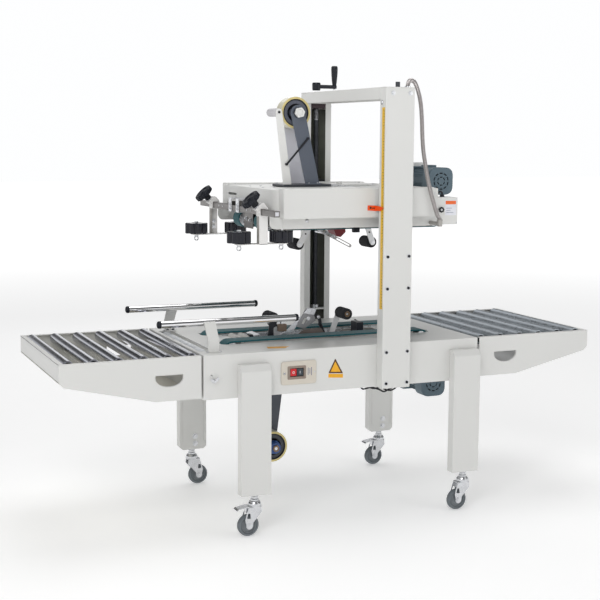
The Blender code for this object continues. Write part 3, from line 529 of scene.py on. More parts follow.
def carved(bm, cutters):
    """The shape less its cutters."""
    base = loose_object(bm)
    tools = [loose_object(cutter) for cutter in cutters]
    for tool in tools:
        cut = base.modifiers.new("cut", "BOOLEAN")
        cut.operation = "DIFFERENCE"
        cut.object = tool
        cut.solver = "EXACT"
    mesh = bpy.data.meshes.new_from_object(base.evaluated_get(bpy.context.evaluated_depsgraph_get()))
    for thing in tools + [base]:
        bpy.data.objects.remove(thing, do_unlink=True)
    result = bmesh.new()
    result.from_mesh(mesh)
    bpy.data.meshes.remove(mesh)
    return result


def loose_object(bm):
    mesh = bpy.data.meshes.new("loose")
    bm.to_mesh(mesh)
    bm.free()
    thing = bpy.data.objects.new("loose", mesh)
    bpy.context.scene.collection.objects.link(thing)
    return thing


def folded_box(x, y, z, opening, bend=0.003, sheet=0.003, cutters=()):
    """Sheet metal folded into a box with one side open, its bends rounded outside."""
    spans = [list(x), list(y), list(z)]
    inner = [[s[0] + sheet, s[1] - sheet] for s in spans]
    index, end = {"-x": (0, 0), "+x": (0, 1), "-y": (1, 0), "+y": (1, 1), "-z": (2, 0), "+z": (2, 1)}[opening]
    out = (-1, 1)[end]
    beyond = [[s[0] - 0.05, s[1] + 0.05] for s in spans]
    beyond[index] = sorted((spans[index][end], spans[index][end] + out * 0.06))
    spans[index][end] += out * 0.02
    inner[index][end] += out * 0.04
    outer = rounded_box(*spans, bend)
    hollow = rounded_box(*inner, max(0.0004, bend - sheet))
    return carved(outer, [hollow, rounded_box(*beyond, SHARP)] + list(cutters))


def rounded_box(x, y, z, radius, segments=3):
    """A box with all its edges rounded."""
    bm = bmesh.new()
    bmesh.ops.create_cube(bm, size=1)
    size = Matrix.Diagonal((x[1] - x[0], y[1] - y[0], z[1] - z[0], 1))
    bm.transform(Matrix.Translation((sum(x) / 2, sum(y) / 2, sum(z) / 2)) @ size)
    bmesh.ops.bevel(bm, geom=bm.edges, offset=radius, segments=segments, profile=0.5, affect="EDGES")
    bmesh.ops.recalc_face_normals(bm, faces=bm.faces)
    return bm


def piece(name, body, shapes, replaces=(), sharp=38):
    """One object from (shape, material) pairs, riding on a body."""
    mesh = bpy.data.meshes.new(name)
    whole = bmesh.new()
    materials = []
    for bm, mat in shapes:
        if mat not in materials:
            materials.append(mat)
        for face in bm.faces:
            face.material_index = materials.index(mat)
        part = bpy.data.meshes.new("part")
        bm.to_mesh(part)
        bm.free()
        whole.from_mesh(part)
        bpy.data.meshes.remove(part)
    whole.to_mesh(mesh)
    whole.free()
    for mat in materials:
        mesh.materials.append(mat)
    mesh.shade_smooth()
    mesh.set_sharp_from_angle(angle=radians(sharp))
    thing = bpy.data.objects.new(name, mesh)
    bpy.context.scene.collection.objects.link(thing)
    even = thing.modifiers.new("even_normals", "WEIGHTED_NORMAL")
    even.keep_sharp = True
    if body:
        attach(thing, body)
    if replaces:
        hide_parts(*replaces)
    return thing


# ---------------------------------------------------------------- fasteners
def socket_bolt(axis, centre, face, out, radius=0.0065, tall=0.004):
    """Black socket-head bolt standing on a face; out is the way it points along its axis."""
    head = [circle(*centre, radius, 24), circle(*centre, radius * 0.5, 6)]
    levels = sorted((face + out * 0.0002, face + out * tall))
    washer = sorted((face, face + out * 0.0012))
    floor = sorted((face, face + out * tall * 0.45))
    return [(panel(head, axis, levels[0], levels[1], 0.0005), black_steel()),
            (drum(axis, centre, radius * 0.6, floor[0], floor[1], 0.0002, 12), black_steel()),
            (ring(axis, centre, radius * 0.4, radius * 1.45, washer[0], washer[1], 0.0003, 28), zinc())]


def hex_bolt(axis, centre, face, out, radius=0.006, tall=0.0045, turn=0):
    """Zinc hexagon head with its washer."""
    outline = arc(centre[0], centre[1], radius, turn, turn + 300, 5)
    levels = sorted((face + out * 0.001, face + out * tall))
    washer = sorted((face, face + out * 0.0014))
    return [(panel(outline, axis, levels[0], levels[1], 0.0006), zinc()),
            (ring(axis, centre, radius * 0.4, radius * 1.55, washer[0], washer[1], 0.0003, 28), zinc())]


def pan_screw(axis, centre, face, out, radius=0.0038, mat=None):
    """Domed screw head with a cross recess."""
    dome = [(0, 0), (radius, 0), (radius, 0.3), (radius * 0.8, 0.75), (radius * 0.4, 1.0), (0, 1.0)]
    profile = [(r, face + out * a * radius * 0.6) for r, a in dome]
    head = turned(profile, axis, centre, 20)
    slots = []
    for a, b in ((0.55, 0.13), (0.13, 0.55)):
        low, high = sorted((face + out * radius * 0.35, face + out * radius * 0.8))
        slots.append(panel(rectangle((centre[0] - a * radius, centre[0] + a * radius),
                                     (centre[1] - b * radius, centre[1] + b * radius)), axis, low, high,
                           SHARP, 1))
    return [(carved(head, slots), mat or zinc())]


# ---------------------------------------------------------------- sizes read from the frame
def span(node, axis):
    low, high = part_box(node)
    index = "xyz".index(axis)
    return low[index], high[index]


DECK_Z = span("infeed_table", "z")[1]
BED_X = span("bed", "x")
BED_Z = (span("bed", "z")[0], DECK_Z)
BED_HALF_Y = span("infeed_table", "y")[1]
COLUMN_X = span("column_front", "x")
COLUMN_Y = (span("column_rear", "y")[0], span("column_rear", "y")[1])   # inner and outer face
COLUMN_Z = span("column_front", "z")
SCREW_XY = ((span("lead_screw_front", "x")[0] + span("lead_screw_front", "x")[1]) / 2,
            (span("lead_screw_front", "y")[0] + span("lead_screw_front", "y")[1]) / 2)
SHEET = 0.003


def middle(node, axis):
    return sum(span(node, axis)) / 2


# ---------------------------------------------------------------- bed
def belt_slots():
    """Cutters for the slots that the lower belts and the tape cassette stand in."""
    x = span("lower_belt_front", "x")
    cutters = []
    for node in ("lower_belt_front", "lower_belt_rear"):
        y = span(node, "y")
        outline = eased(rectangle((x[0] - 0.008, x[1] + 0.01), (y[0] - 0.003, y[1] + 0.003)), 0.02, 5)
        cutters.append(panel(outline, "z", DECK_Z - 0.02, DECK_Z + 0.02, SHARP, 1))
    inner = eased(rectangle((-0.3, 0.26), (-0.049, 0.049)), 0.006)
    cutters.append(panel(inner, "z", DECK_Z - 0.02, DECK_Z + 0.02, SHARP, 1))
    cutters.append(panel(rectangle((-0.489, -0.441), (-0.226, 0.226)), "z", DECK_Z - 0.02, DECK_Z + 0.02,
                         SHARP, 1))
    return cutters


def bed():
    white = paint()
    y = (-BED_HALF_Y, BED_HALF_Y)
    cutters = belt_slots()
    cutters.append(drum("y", (-0.474, 0.531), 0.0042, -0.32, -0.29, 0, 16))
    cutters.append(block((-0.214, -0.152), (-0.32, -0.29), (0.502, 0.543), SHARP))
    skin = folded_box(BED_X, y, BED_Z, "-z", 0.0035, SHEET, cutters)
    shapes = [(skin, white)]
    inside = BED_HALF_Y - SHEET
    # Cross ribs and plates inside the bed take the darker powder coat as painted shade.
    for x in (-0.425, 0.412):
        shapes.append((block((x, x + 0.03), (-inside, inside), (0.5, 0.53), 0.001), shaded_paint()))
    shapes.append((block((0.365, 0.465), (-inside, inside), (0.4625, 0.4685)), shaded_paint()))
    for side in (-1, 1):
        for x in (-0.28, 0.3):
            low, high = sorted((side * 0.13, side * inside))
            shapes.append((block((x, x + 0.03), (low, high), (0.556, 0.58), 0.001), shaded_paint()))
    for end in BED_X:
        out = 1 if end > 0 else -1
        for y0 in (-0.2, 0.2):
            shapes += hex_bolt("x", (y0, 0.51), end + out * 0.0002, out, 0.0055, 0.005)
    piece("bed_body", "frame", shapes, ["bed"])
    for node, face in (("lower_belt_front", 1), ("lower_belt_rear", 1), ("upper_belt_front", -1),
                       ("upper_belt_rear", -1)):
        belt_run(node, face)
    table_screws()


def belt_run(node, face):
    """Rough-top belt round its two pulleys, with the slide rail and side plates between them."""
    x, y, z = span(node, "x"), span(node, "y"), span(node, "z")
    radius = (z[1] - z[0]) / 2
    axis_z = sum(z) / 2
    left, right = x[0] + radius, x[1] - radius
    body = "frame" if node.startswith("lower") else "head"

    def loop(r):
        return arc(left, axis_z, r, 90, 270, 22) + arc(right, axis_z, r, -90, 90, 22)

    proud, wide = (0.0028, 0.003) if body == "frame" else (0, 0)
    web = [loop(radius + proud), loop(radius - 0.003)]
    piece(f"{node}_web", body, [(panel(web, "y", y[0] - wide, y[1] + wide, 0.0009, 2),
                                         teal_belt())], [node])
    shapes = []
    for centre in (left, right):
        shapes.append((ring("y", (centre, axis_z), 0.0075, radius - 0.0034, y[0] - 0.003, y[1] + 0.003,
                            0.001), zinc()))
        shapes.append((drum("y", (centre, axis_z), 0.0074, y[0] - 0.004, y[1] + 0.004, 0.0006, 24),
                       black_steel()))
    rail_z = sorted((axis_z + face * (radius - 0.0034), axis_z + face * 0.012))
    shapes.append((block((left + 0.03, right - 0.03), (y[0] - 0.002, y[1] + 0.002), rail_z, 0.001),
                   bar_steel()))
    plate_z = sorted((axis_z + face * (radius - 0.0145), axis_z - face * 0.02))
    for edge in ((y[0] - 0.004, y[0] - 0.001), (y[1] + 0.001, y[1] + 0.004)):
        shapes.append((block((left - 0.012, right + 0.012), edge, plate_z, 0.0006), bar_steel()))
    for centre in (left + 0.1, (left + right) / 2, right - 0.1):
        for edge, out in ((y[0] - 0.004, -1), (y[1] + 0.004, 1)):
            shapes += hex_bolt("y", (centre, sum(plate_z) / 2), edge, out, 0.004, 0.0035)
    piece(f"{node}_carrier", body, shapes)


def table_screws():
    """Wing screw on the front wall, under the small hole that bed() cuts."""
    y = -BED_HALF_Y
    shapes = [(drum("y", (-0.467, 0.514), 0.007, y - 0.004, y, 0.0006, 24), zinc()),
              (drum("y", (-0.467, 0.514), 0.0045, y - 0.016, y - 0.0038, 0.0008, 20), zinc())]
    for side in (-1, 1):
        wing = strip((-0.467, 0.514), (-0.467 + side * 0.0105, 0.514 + 0.0075 + side * 0.002), 0.0042, 8)
        shapes.append((panel(wing, "y", y - 0.0145, y - 0.0125, 0.0006), zinc()))
    piece("table_wing_screw", "frame", shapes)


# ---------------------------------------------------------------- roller tables
def table(name):
    """Cheeks with a turned-in top lip, end plates and hand holes."""
    white = paint()
    x = span(f"{name}_table", "x")
    side = -1 if x[0] < 0 else 1
    bed_end = BED_X[0] if side < 0 else BED_X[1]
    near, far = bed_end + side * 0.007, (x[0] if side < 0 else x[1])
    bottom = span(f"{name}_table", "z")[0]
    shallow = bottom + 0.071
    flat_x = near + side * 0.15
    hole_x, hole_top = near + side * 0.1055, DECK_Z - 0.0525
    hole = [(hole_x - 0.047, hole_top), (hole_x + 0.047, hole_top)]
    hole += [(hole_x + 0.047 * cos(radians(t)), hole_top - 0.012 - 0.029 * sin(radians(t)))
             for t in range(0, 181, 15)]
    hole = eased(hole, 0.004, 2)
    shapes = []
    for hand in (-1, 1):
        y = hand * BED_HALF_Y
        sheet = hand * SHEET
        lip = [(y, bottom), (y, DECK_Z - 0.002), (y - hand * 0.0008, DECK_Z - 0.0006),
               (y - hand * 0.0022, DECK_Z),
               (y - hand * 0.015, DECK_Z), (y - hand * 0.015, DECK_Z - SHEET), (y - sheet, DECK_Z - SHEET),
               (y - sheet, bottom)]
        cheek = panel(lip, "x", *sorted((near, far)), 0.0007)
        below = [(flat_x, bottom - 0.01), (flat_x, bottom), (far - side * 0.014, shallow - 0.006),
                 (far, shallow + 0.008), (far + side * 0.02, shallow + 0.008),
                 (far + side * 0.02, bottom - 0.01)]
        cutters = [panel(below, "y", *sorted((y - 2 * sheet, y + sheet)), SHARP, 1),
                   panel(hole, "y", *sorted((y - 2 * sheet, y + sheet)), SHARP, 1)]
        shapes.append((carved(cheek, cutters), white))
        # The hand-hole rim takes the darker powder coat as painted shade.
        rim = panel([hole_grown(hole, 0.0001), hole_grown(hole, -0.0022)], "y",
                    *sorted((y - sheet * 0.2, y - sheet * 2.6)), 0.0005)
        shapes.append((rim, shaded_paint()))
    width = (-BED_HALF_Y + SHEET, BED_HALF_Y - SHEET)
    under = [(near, bottom), (flat_x, bottom), (far - side * 0.014, shallow - 0.006), (far, shallow + 0.008)]
    tray = under + [(tray_x, tray_z + SHEET) for tray_x, tray_z in reversed(under)]
    # The outfeed tray takes the darker powder coat as painted shade.
    shapes.append((panel(tray, "y", width[0] - 0.0008, width[1] + 0.0008, 0.0004, 1),
                   tray_paint() if side < 0 else shaded_paint()))
    shapes.append((block(sorted((near, near + side * SHEET)), width, (bottom, 0.56), 0.0007), white))
    shapes.append((block(sorted((far - side * SHEET, far)), width, (shallow + 0.008, DECK_Z), 0.0012), white))
    shapes.append((block(sorted((far - side * 0.016, far)), width, (DECK_Z - SHEET, DECK_Z - 0.0002), 0.0007),
                   white))
    for y in (-0.2, 0.2):
        shapes.append((drum("x", (y, 0.51), 0.009, *sorted((bed_end + side * 0.0003, near + side * 0.001))),
                       zinc()))
        shapes += hex_bolt("x", (y, 0.51), near + side * SHEET, side, 0.0065, 0.006)
    piece(f"{name}_table_frame", "frame", shapes, [f"{name}_table"])
    for i in range(6):
        roller(f"{name}_roller_{i + 1}", galvanised() if side > 0 else dark_chrome())


def hole_grown(loop, distance):
    return inset(wound(loop, True), -distance)


def roller(node, tube_mat):
    """Tube with turned-in ends, a black bearing in each end and a hexagon axle."""
    x, z, y = middle(node, "x"), middle(node, "z"), span(node, "y")
    radius = (span(node, "x")[1] - span(node, "x")[0]) / 2
    end = y[1] - 0.0265
    tube = [(0.013, -end + 0.003), (0.0135, -end + 0.0006), (0.015, -end), (radius - 0.002, -end),
            (radius - 0.0006, -end + 0.0006), (radius, -end + 0.0022)]
    tube += [(r, -along) for r, along in reversed(tube)]
    profile = [(0, -end + 0.003)] + tube + [(0, end - 0.003)]
    shapes = [(turned(profile, "y", (x, z), 40), tube_mat)]
    for side in (-1, 1):
        low, high = sorted((side * (end - 0.0035), side * (end - 0.0004)))
        shapes.append((ring("y", (x, z), 0.0062, 0.0129, low, high, 0.0006, 32), black_plastic()))
        low, high = sorted((side * (end - 0.006), side * y[1]))
        shapes.append((panel(arc(x, z, 0.0052, 30, 330, 5), "y", low, high, 0.0003), zinc()))
    piece(f"{node}_tube", node, shapes, [node])


# ---------------------------------------------------------------- legs and casters
def leg(node, rear):
    """Box leg with a sloped top; the rear pair shows its slotted, bolted inner face."""
    x, y, z = span(node, "x"), span(node, "y"), span(node, "z")
    out, near = (y[1], y[0]) if rear else (y[0], y[1])
    side = 1 if rear else -1
    outline = [(near, z[0]), (out, z[0]), (out, z[1] - 0.02), (out - side * 0.014, z[1]), (near, z[1])]
    body = panel(eased(outline, 0.0025, 3), "x", x[0], x[1], 0.0035, 3)
    cutters = []
    low, high = sorted((near - side * 0.002, near + side * 0.0012))
    for edge, inward in ((x[0], 1), (x[1], -1)):
        slot_x = sorted((edge + inward * 0.0105, edge + inward * 0.0122))
        for slot_z in ((z[0] + 0.03, z[0] + 0.125), (z[0] + 0.14, z[0] + 0.3)):
            cutters.append(block(slot_x, (low, high), slot_z, SHARP))
        if rear:
            corner = [(edge - inward * 0.01, z[0] - 0.01), (edge + inward * 0.012, z[0] - 0.01),
                      (edge + inward * 0.012, z[0]), (edge, z[0] + 0.012),
                      (edge - inward * 0.01, z[0] + 0.012)]
            cutters.append(panel(corner, "y", y[0] - 0.01, y[1] + 0.01, SHARP, 1))
    shapes = [(carved(body, cutters), paint())]
    centre = sum(x) / 2
    for up in (0.022, 0.05):
        shapes += hex_bolt("y", (centre + 0.008, z[0] + up), near, -side, 0.0065, 0.0045)
    shapes.append((ring("z", (centre, sum(y) / 2), 0.0092, 0.015, z[0] - 0.002, z[0] + 0.0005, 0.0004, 32),
                   zinc()))
    piece(f"{node}_box", "frame", shapes, [node])


def caster(name, brake):
    """Swivel caster: stem, domed head, pressed fork, grooved rubber wheel."""
    fork, wheel = f"caster_fork_{name}", f"caster_wheel_{name}"
    axle_x, axle_z, y = middle(wheel, "x"), middle(wheel, "z"), middle(wheel, "y")
    leg_x = middle(f"leg_{name}", "x")
    top = span(fork, "z")[1]
    side = -1 if axle_x < leg_x else 1
    steel = zinc()
    stem = [(0, top), (0.0085, top), (0.0085, 0.122), (0.0135, 0.1215), (0.0135, 0.1165), (0.0175, 0.115),
            (0.0215, 0.1085), (0.0225, 0.102), (0.0218, 0.0985), (0, 0.0985)]
    shapes = [(turned(stem, "z", (leg_x, y), 36, 0.0008), steel)]
    shapes.append((panel(arc(leg_x, y, 0.0125, 0, 300, 5), "z", 0.1235, 0.13, 0.0006), steel))
    near, far = leg_x - side * 0.0205, leg_x + side * 0.029
    crown = eased(rectangle(sorted((near, far)), (y - 0.0188, y + 0.0188)), 0.009, 5)
    shapes.append((panel(crown, "z", 0.096, 0.099, 0.001), steel))
    for hand in (-1, 1):
        low, high = sorted((y + hand * 0.0146, y + hand * 0.017))
        cheek = [(near + side * 0.004, 0.0985), (far - side * 0.003, 0.0985),
                 (axle_x + side * 0.0155, axle_z + 0.02)]
        turns = arc(axle_x, axle_z, 0.0115, 20, -180, 12)
        cheek += [(axle_x + side * (a - axle_x), b) for a, b in turns]
        cheek += [(axle_x - side * 0.0125, axle_z + 0.01), (near + side * 0.001, 0.08)]
        window = [(axle_x + side * a, axle_z + b) for a,
                  b in ((-0.004, 0.024), (0.009, 0.026), (0.005, 0.042), (-0.002, 0.042))]
        shapes.append((panel([eased(cheek, 0.003, 3), eased(window, 0.003, 3)], "y", low, high, 0.0006),
                       steel))
        shapes += hex_bolt("y", (axle_x, axle_z), y + hand * 0.017, hand, 0.006, 0.0032)
    shapes.append((drum("y", (axle_x, axle_z), 0.0042, y - 0.0165, y + 0.0165, 0.0003, 20), steel))
    if brake:
        pedal = [(leg_x - 0.012, 0.1), (leg_x - 0.03, 0.101), (leg_x - 0.061, 0.0958),
                 (leg_x - 0.0665, 0.0905),
                 (leg_x - 0.065, 0.0885), (leg_x - 0.059, 0.0928), (leg_x - 0.031, 0.0978),
                 (leg_x - 0.012, 0.097)]
        shapes.append((panel(eased(pedal, 0.002, 2), "y", y - 0.0165, y + 0.0165, 0.0007), steel))
        for i in range(5):
            x = leg_x - 0.058 + 0.0055 * i
            z = 0.0962 + (0.001 * i)
            shapes.append((rod((x, y - 0.014, z), (x, y + 0.014, z), 0.0009, 0.0002, 8), steel))
        tab = [(leg_x - 0.024, 0.098), (leg_x - 0.031, 0.098), (leg_x - 0.034, 0.08), (leg_x - 0.029, 0.078)]
        shapes.append((panel(eased(tab, 0.002, 2), "y", y - 0.01, y + 0.01, 0.0005), steel))
    piece(f"caster_fork_{name}_pressed", fork, shapes, [fork])

    r = (span(wheel, "z")[1] - span(wheel, "z")[0]) / 2
    half = (span(wheel, "y")[1] - span(wheel, "y")[0]) / 2
    tyre_mat = bright("grey_wheel_rubber", (0.145, 0.165, 0.18), 0.55, spread=0.12, patch=30, grain=0.3)
    hub_mat = bright("grey_wheel_core", (0.19, 0.21, 0.225), 0.42, spread=0.06)
    outer = [(0.0255, half * 0.72), (0.0275, half), (0.03, half), (r - 0.0022, half * 0.62), (r, half * 0.38)]
    tyre = turned([(0.025, -half * 0.72)] + [(a, -b) for a, b in outer] + list(reversed(outer))
                  + [(0.025, half * 0.72), (0.025, -half * 0.72)], "y", (axle_x, axle_z), 48)
    core = [(0.0052, half), (0.0105, half), (0.0115, half * 0.62), (0.0215, half * 0.55),
            (0.0228, half * 0.86),
            (0.025, half * 0.86)]
    hub = turned([(a, -b) for a, b in core] + list(reversed(core)) + [(0.0052, -half)], "y", (axle_x, axle_z),
                 40)
    shapes = [(moved(tyre, Matrix.Translation((0, y, 0))), tyre_mat),
              (moved(hub, Matrix.Translation((0, y, 0))), hub_mat)]
    piece(f"caster_wheel_{name}_tyre", wheel, shapes, [wheel])


# ---------------------------------------------------------------- portal
def column(node, side):
    """Lipped channel with its cap, bolts and closing plate."""
    x0, x1 = COLUMN_X
    inner, outer = side * COLUMN_Y[0], side * COLUMN_Y[1]
    lip, sheet = 0.023, side * SHEET
    outline = [(x0 + lip, inner), (x0, inner), (x0, outer), (x1, outer), (x1, inner), (x1 - lip, inner),
               (x1 - lip, inner + sheet), (x1 - SHEET, inner + sheet), (x1 - SHEET, outer - sheet),
               (x0 + SHEET, outer - sheet), (x0 + SHEET, inner + sheet), (x0 + lip, inner + sheet)]
    shapes = [(panel(eased(outline, 0.0028, 3), "z", COLUMN_Z[0], COLUMN_Z[1] - 0.0031, 0.0006), paint())]
    cap_holes = [circle(SCREW_XY[0], side * abs(SCREW_XY[1]), 0.0125, 32)]
    if side < 0:
        cap_holes.append(circle(0.2015, -0.3165, 0.008, 28))
    cap = eased(rectangle((x0, x1), sorted((inner, outer))), 0.0028, 3)
    shapes.append((panel([cap] + cap_holes, "z", COLUMN_Z[1] - SHEET, COLUMN_Z[1], 0.0008), paint()))
    shapes.append((block((x0 + lip - 0.002, x1 - lip + 0.002), sorted((inner, inner + sheet)),
                         (COLUMN_Z[1] - 0.04, COLUMN_Z[1] - SHEET), 0.0005), paint()))
    low_pairs = (0.47, 0.575, 0.787, 0.893)
    for z in low_pairs:
        for x in (x0 + 0.015, x1 - 0.012):
            shapes += socket_bolt("y", (x, z), outer, side, 0.0048, 0.0034)
    for x, turn in ((x0 + 0.026, 10), (x1 - 0.016, 25)):
        shapes += hex_bolt("y", (x, COLUMN_Z[1] - 0.0195), outer, side, 0.0052, 0.0042, turn)
    for face, out in ((x0, -1), (x1, 1)):
        shapes += hex_bolt("x", (side * 0.319, COLUMN_Z[1] - 0.05), face, out, 0.0056, 0.0045, 15)
    # Dark olive liner on the inside of the back web: painted shade inside the channel, with an olive tint.
    olive = bright("olive_grey_painted_shade", (0.115, 0.12, 0.098), 0.6, spread=0.12, patch=20, grain=0.2)
    back = sorted((outer - sheet, outer - side * 0.0036))
    shapes.append((block((x0 + 0.03, x1 - 0.006), back, (COLUMN_Z[0] + 0.01, COLUMN_Z[1] - 0.06), 0.0002),
                   olive))
    dark = bright("column_shadow_lining", (0.022, 0.02, 0.024), 0.7, spread=0.2, patch=20)
    shapes.append((block((x0 + SHEET, x0 + 0.03), back, (COLUMN_Z[0] + 0.01, COLUMN_Z[1] - 0.06), 0.0002),
                   dark))
    screw_y = side * abs(SCREW_XY[1])
    bearing = [rectangle((x0 + lip + 0.0005, x1 - lip - 0.0005),
                         sorted((inner + sheet * 0.2, outer - sheet * 1.3))),
               circle(SCREW_XY[0], screw_y, 0.0104, 28)]
    shapes.append((panel(bearing, "z", 1.3865, COLUMN_Z[1] - 0.04, 0.001),
                   bright("maroon_bearing", (0.03, 0.012, 0.018), 0.5)))
    foot = [rectangle((x0 + 0.0035, x1 - 0.0035), sorted((inner + sheet * 1.1, outer - sheet * 1.3))),
            circle(SCREW_XY[0], screw_y, 0.0104, 28)]
    shapes.append((panel(foot, "z", SCREW_FOOT_Z, SCREW_FOOT_Z + 0.006, 0.0006), paint()))
    shapes.append((ring("z", (SCREW_XY[0], screw_y), 0.0104, 0.015, SCREW_FOOT_Z + 0.0062,
                        SCREW_FOOT_Z + 0.018), zinc()))
    piece(f"{node}_channel", "frame", shapes, [node])


SCREW_FOOT_Z = span("lead_screw_front", "z")[0] + 0.012


def ruler():
    """Height rule on the infeed side of the front column: yellow strip with dark graduations."""
    face = COLUMN_X[0]
    y = (-0.34, -0.3215)
    z = (0.719, 1.378)
    yellow = bright("rule_yellow", (0.83, 0.5, 0.012), 0.38, spread=0.03)
    shapes = [(block((face - 0.0006, face - 0.00005), y, z, SHARP), yellow)]
    ink = bright("rule_ink", (0.035, 0.028, 0.02), 0.5)
    count = int((z[1] - z[0]) / 0.005)
    for i in range(1, count):
        length = 0.0092 if i % 10 == 0 else 0.0066 if i % 2 == 0 else 0.0042
        at = z[0] + i * 0.005
        shapes.append((block((face - 0.0008, face - 0.0005), (y[0] + 0.001, y[0] + 0.001 + length),
                             (at - 0.0009, at + 0.0009), 0.00005), ink))
    piece("height_rule", "frame", shapes)


def top_beam():
    x, y, z = (span("top_beam", axis) for axis in "xyz")
    shapes = [(folded_box(x, y, z, "-z", 0.003), paint())]
    piece("top_beam_channel", "frame", shapes, ["top_beam"])


def lead_screws():
    """Threaded screws, and the hand crank on the rear one."""
    for node, body in (("lead_screw_front", "front_screw"), ("crank_screw", "crank")):
        y = SCREW_XY[1] if body == "front_screw" else -SCREW_XY[1]
        foot = span(node, "z")[0]
        top = COLUMN_Z[1] + (0.017 if body == "front_screw" else 0.004)
        profile = [(0, foot), (0.0075, foot), (0.0075, foot + 0.03), (0.0086, foot + 0.032), (0.0086, 1.385),
                   (0.0075, 1.388), (0.0075, top), (0, top)]
        shapes = [(turned(profile, "z", (SCREW_XY[0], y), 28, 0.0006), screw_steel())]
        # The thread is black below 1.34 and bright zinc above it: the bright top is a painted highlight where
        # light reaches into the column.
        shapes.append((helix((SCREW_XY[0], y), (foot + 0.034, 1.34), 0.0086, 0.005, 0.0012), black_steel()))
        shapes.append((helix((SCREW_XY[0], y), (1.343, 1.385), 0.0086, 0.005, 0.0012), zinc()))
        if body == "crank":
            shapes += crank()
        else:
            shapes.append((panel(eased(rectangle((SCREW_XY[0] - 0.0052, SCREW_XY[0] + 0.0052),
                                                 (y - 0.0052, y + 0.0052)), 0.001, 2), "z", top - 0.002, top,
                                 0.0004), zinc()))
        piece(f"{node}_thread", body, shapes, [node])


def screw_steel():
    return surface("dark_screw_steel", (0.06, 0.064, 0.074), 0.4, metallic=0.6, spread=0.12, patch=60,
                   grain=0.2)


def crank():
    """Moulded hub and arm with a tapered, flared grip."""
    plastic = black_plastic()
    x, y = SCREW_XY[0], -SCREW_XY[1]
    grip_x = x + 0.0735
    top = span("crank_screw", "z")[1]
    hub = [(0, 1.453), (0.0135, 1.453), (0.0152, 1.4555), (0.016, 1.476), (0.014, 1.482), (0, 1.482)]
    shapes = [(turned(hub, "z", (x, y), 36, 0.001), plastic)]
    arm = arc(x, y, 0.013, 60, 300, 14) + arc(grip_x, y, 0.0092, -80, 80, 10)
    shapes.append((panel(arm, "z", 1.4605, 1.474, 0.003, 3), plastic))
    grip = [(0, 1.471), (0.0078, 1.471), (0.0078, 1.477), (0.0086, 1.48), (0.0102, 1.495), (0.0116, 1.512),
            (0.0125, top - 0.012), (0.012, top - 0.004), (0.0088, top), (0, top)]
    shapes.append((turned(grip, "z", (grip_x, y), 36, 0.001), plastic))
    shapes.append((drum("z", (grip_x, y), 0.0052, 1.4575, 1.461, 0.0008, 20), zinc()))
    return shapes


CONDUIT_ROUTE = [(0.2015, -0.3165, 1.427), (0.2017, -0.3165, 1.446), (0.205, -0.3155, 1.46),
                 (0.213, -0.312, 1.467), (0.2225, -0.3075, 1.4675), (0.2335, -0.304, 1.462),
                 (0.244, -0.3015, 1.446), (0.2545, -0.2995, 1.419), (0.2615, -0.2985, 1.389),
                 (0.2655, -0.298, 1.356), (0.268, -0.298, 1.319), (0.2705, -0.298, 1.277),
                 (0.275, -0.2985, 1.234), (0.2825, -0.2995, 1.192), (0.291, -0.3005, 1.15),
                 (0.3035, -0.3025, 1.099), (0.315, -0.3055, 1.06), (0.326, -0.3095, 1.025),
                 (0.3328, -0.3122, 1.013), (0.334, -0.313, 1.0055)]


def conduit():
    """Flexible metal conduit, held in the column's top and in the head's elbow."""
    hose = surface("braided_conduit", (0.5, 0.47, 0.465), 0.38, metallic=0.85, spread=0.12, patch=300,
                   grain=0.4,
                   grain_size=0.0006)
    points = smooth_route(CONDUIT_ROUTE, 0.00095)
    tube = piece("conduit_hose", None, [(swept(points, 0.0068, 12, 0.0006, 0.0038), hose)])
    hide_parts("conduit")
    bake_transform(tube)
    nut = [(ring("z", (0.2015, -0.3165), 0.0079, 0.0105, COLUMN_Z[1] + 0.0002, COLUMN_Z[1] + 0.0045), zinc())]
    piece("conduit_lock_nut", "frame", nut)
    x, y = CONDUIT_ROUTE[-1][:2]
    fitting = surface("dull_fitting", (0.4, 0.385, 0.365), 0.42, metallic=0.7, spread=0.06, patch=40,
                      grain=0.2)
    elbow = [(turned([(0, 0.986), (0.0075, 0.986), (0.009, 0.988), (0.0092, 1.004), (0.0098, 1.0045),
                      (0.0098, 1.0095), (0.0074, 1.01), (0, 1.01)], "z", (x, y), 32, 0.0006), fitting),
             (drum("y", (x, 0.9945), 0.007, y, -0.2505, 0.0008, 28), fitting)]
    piece("conduit_elbow", "head", elbow)


# ---------------------------------------------------------------- head
HEAD_X, HEAD_HALF_Y, HEAD_Z = (-0.238, 0.361), 0.25, (0.985, 1.112)
COVER_X, COVER_HALF_Y, COVER_Z = (-0.224, 0.325), 0.29, (1.02, 1.117)


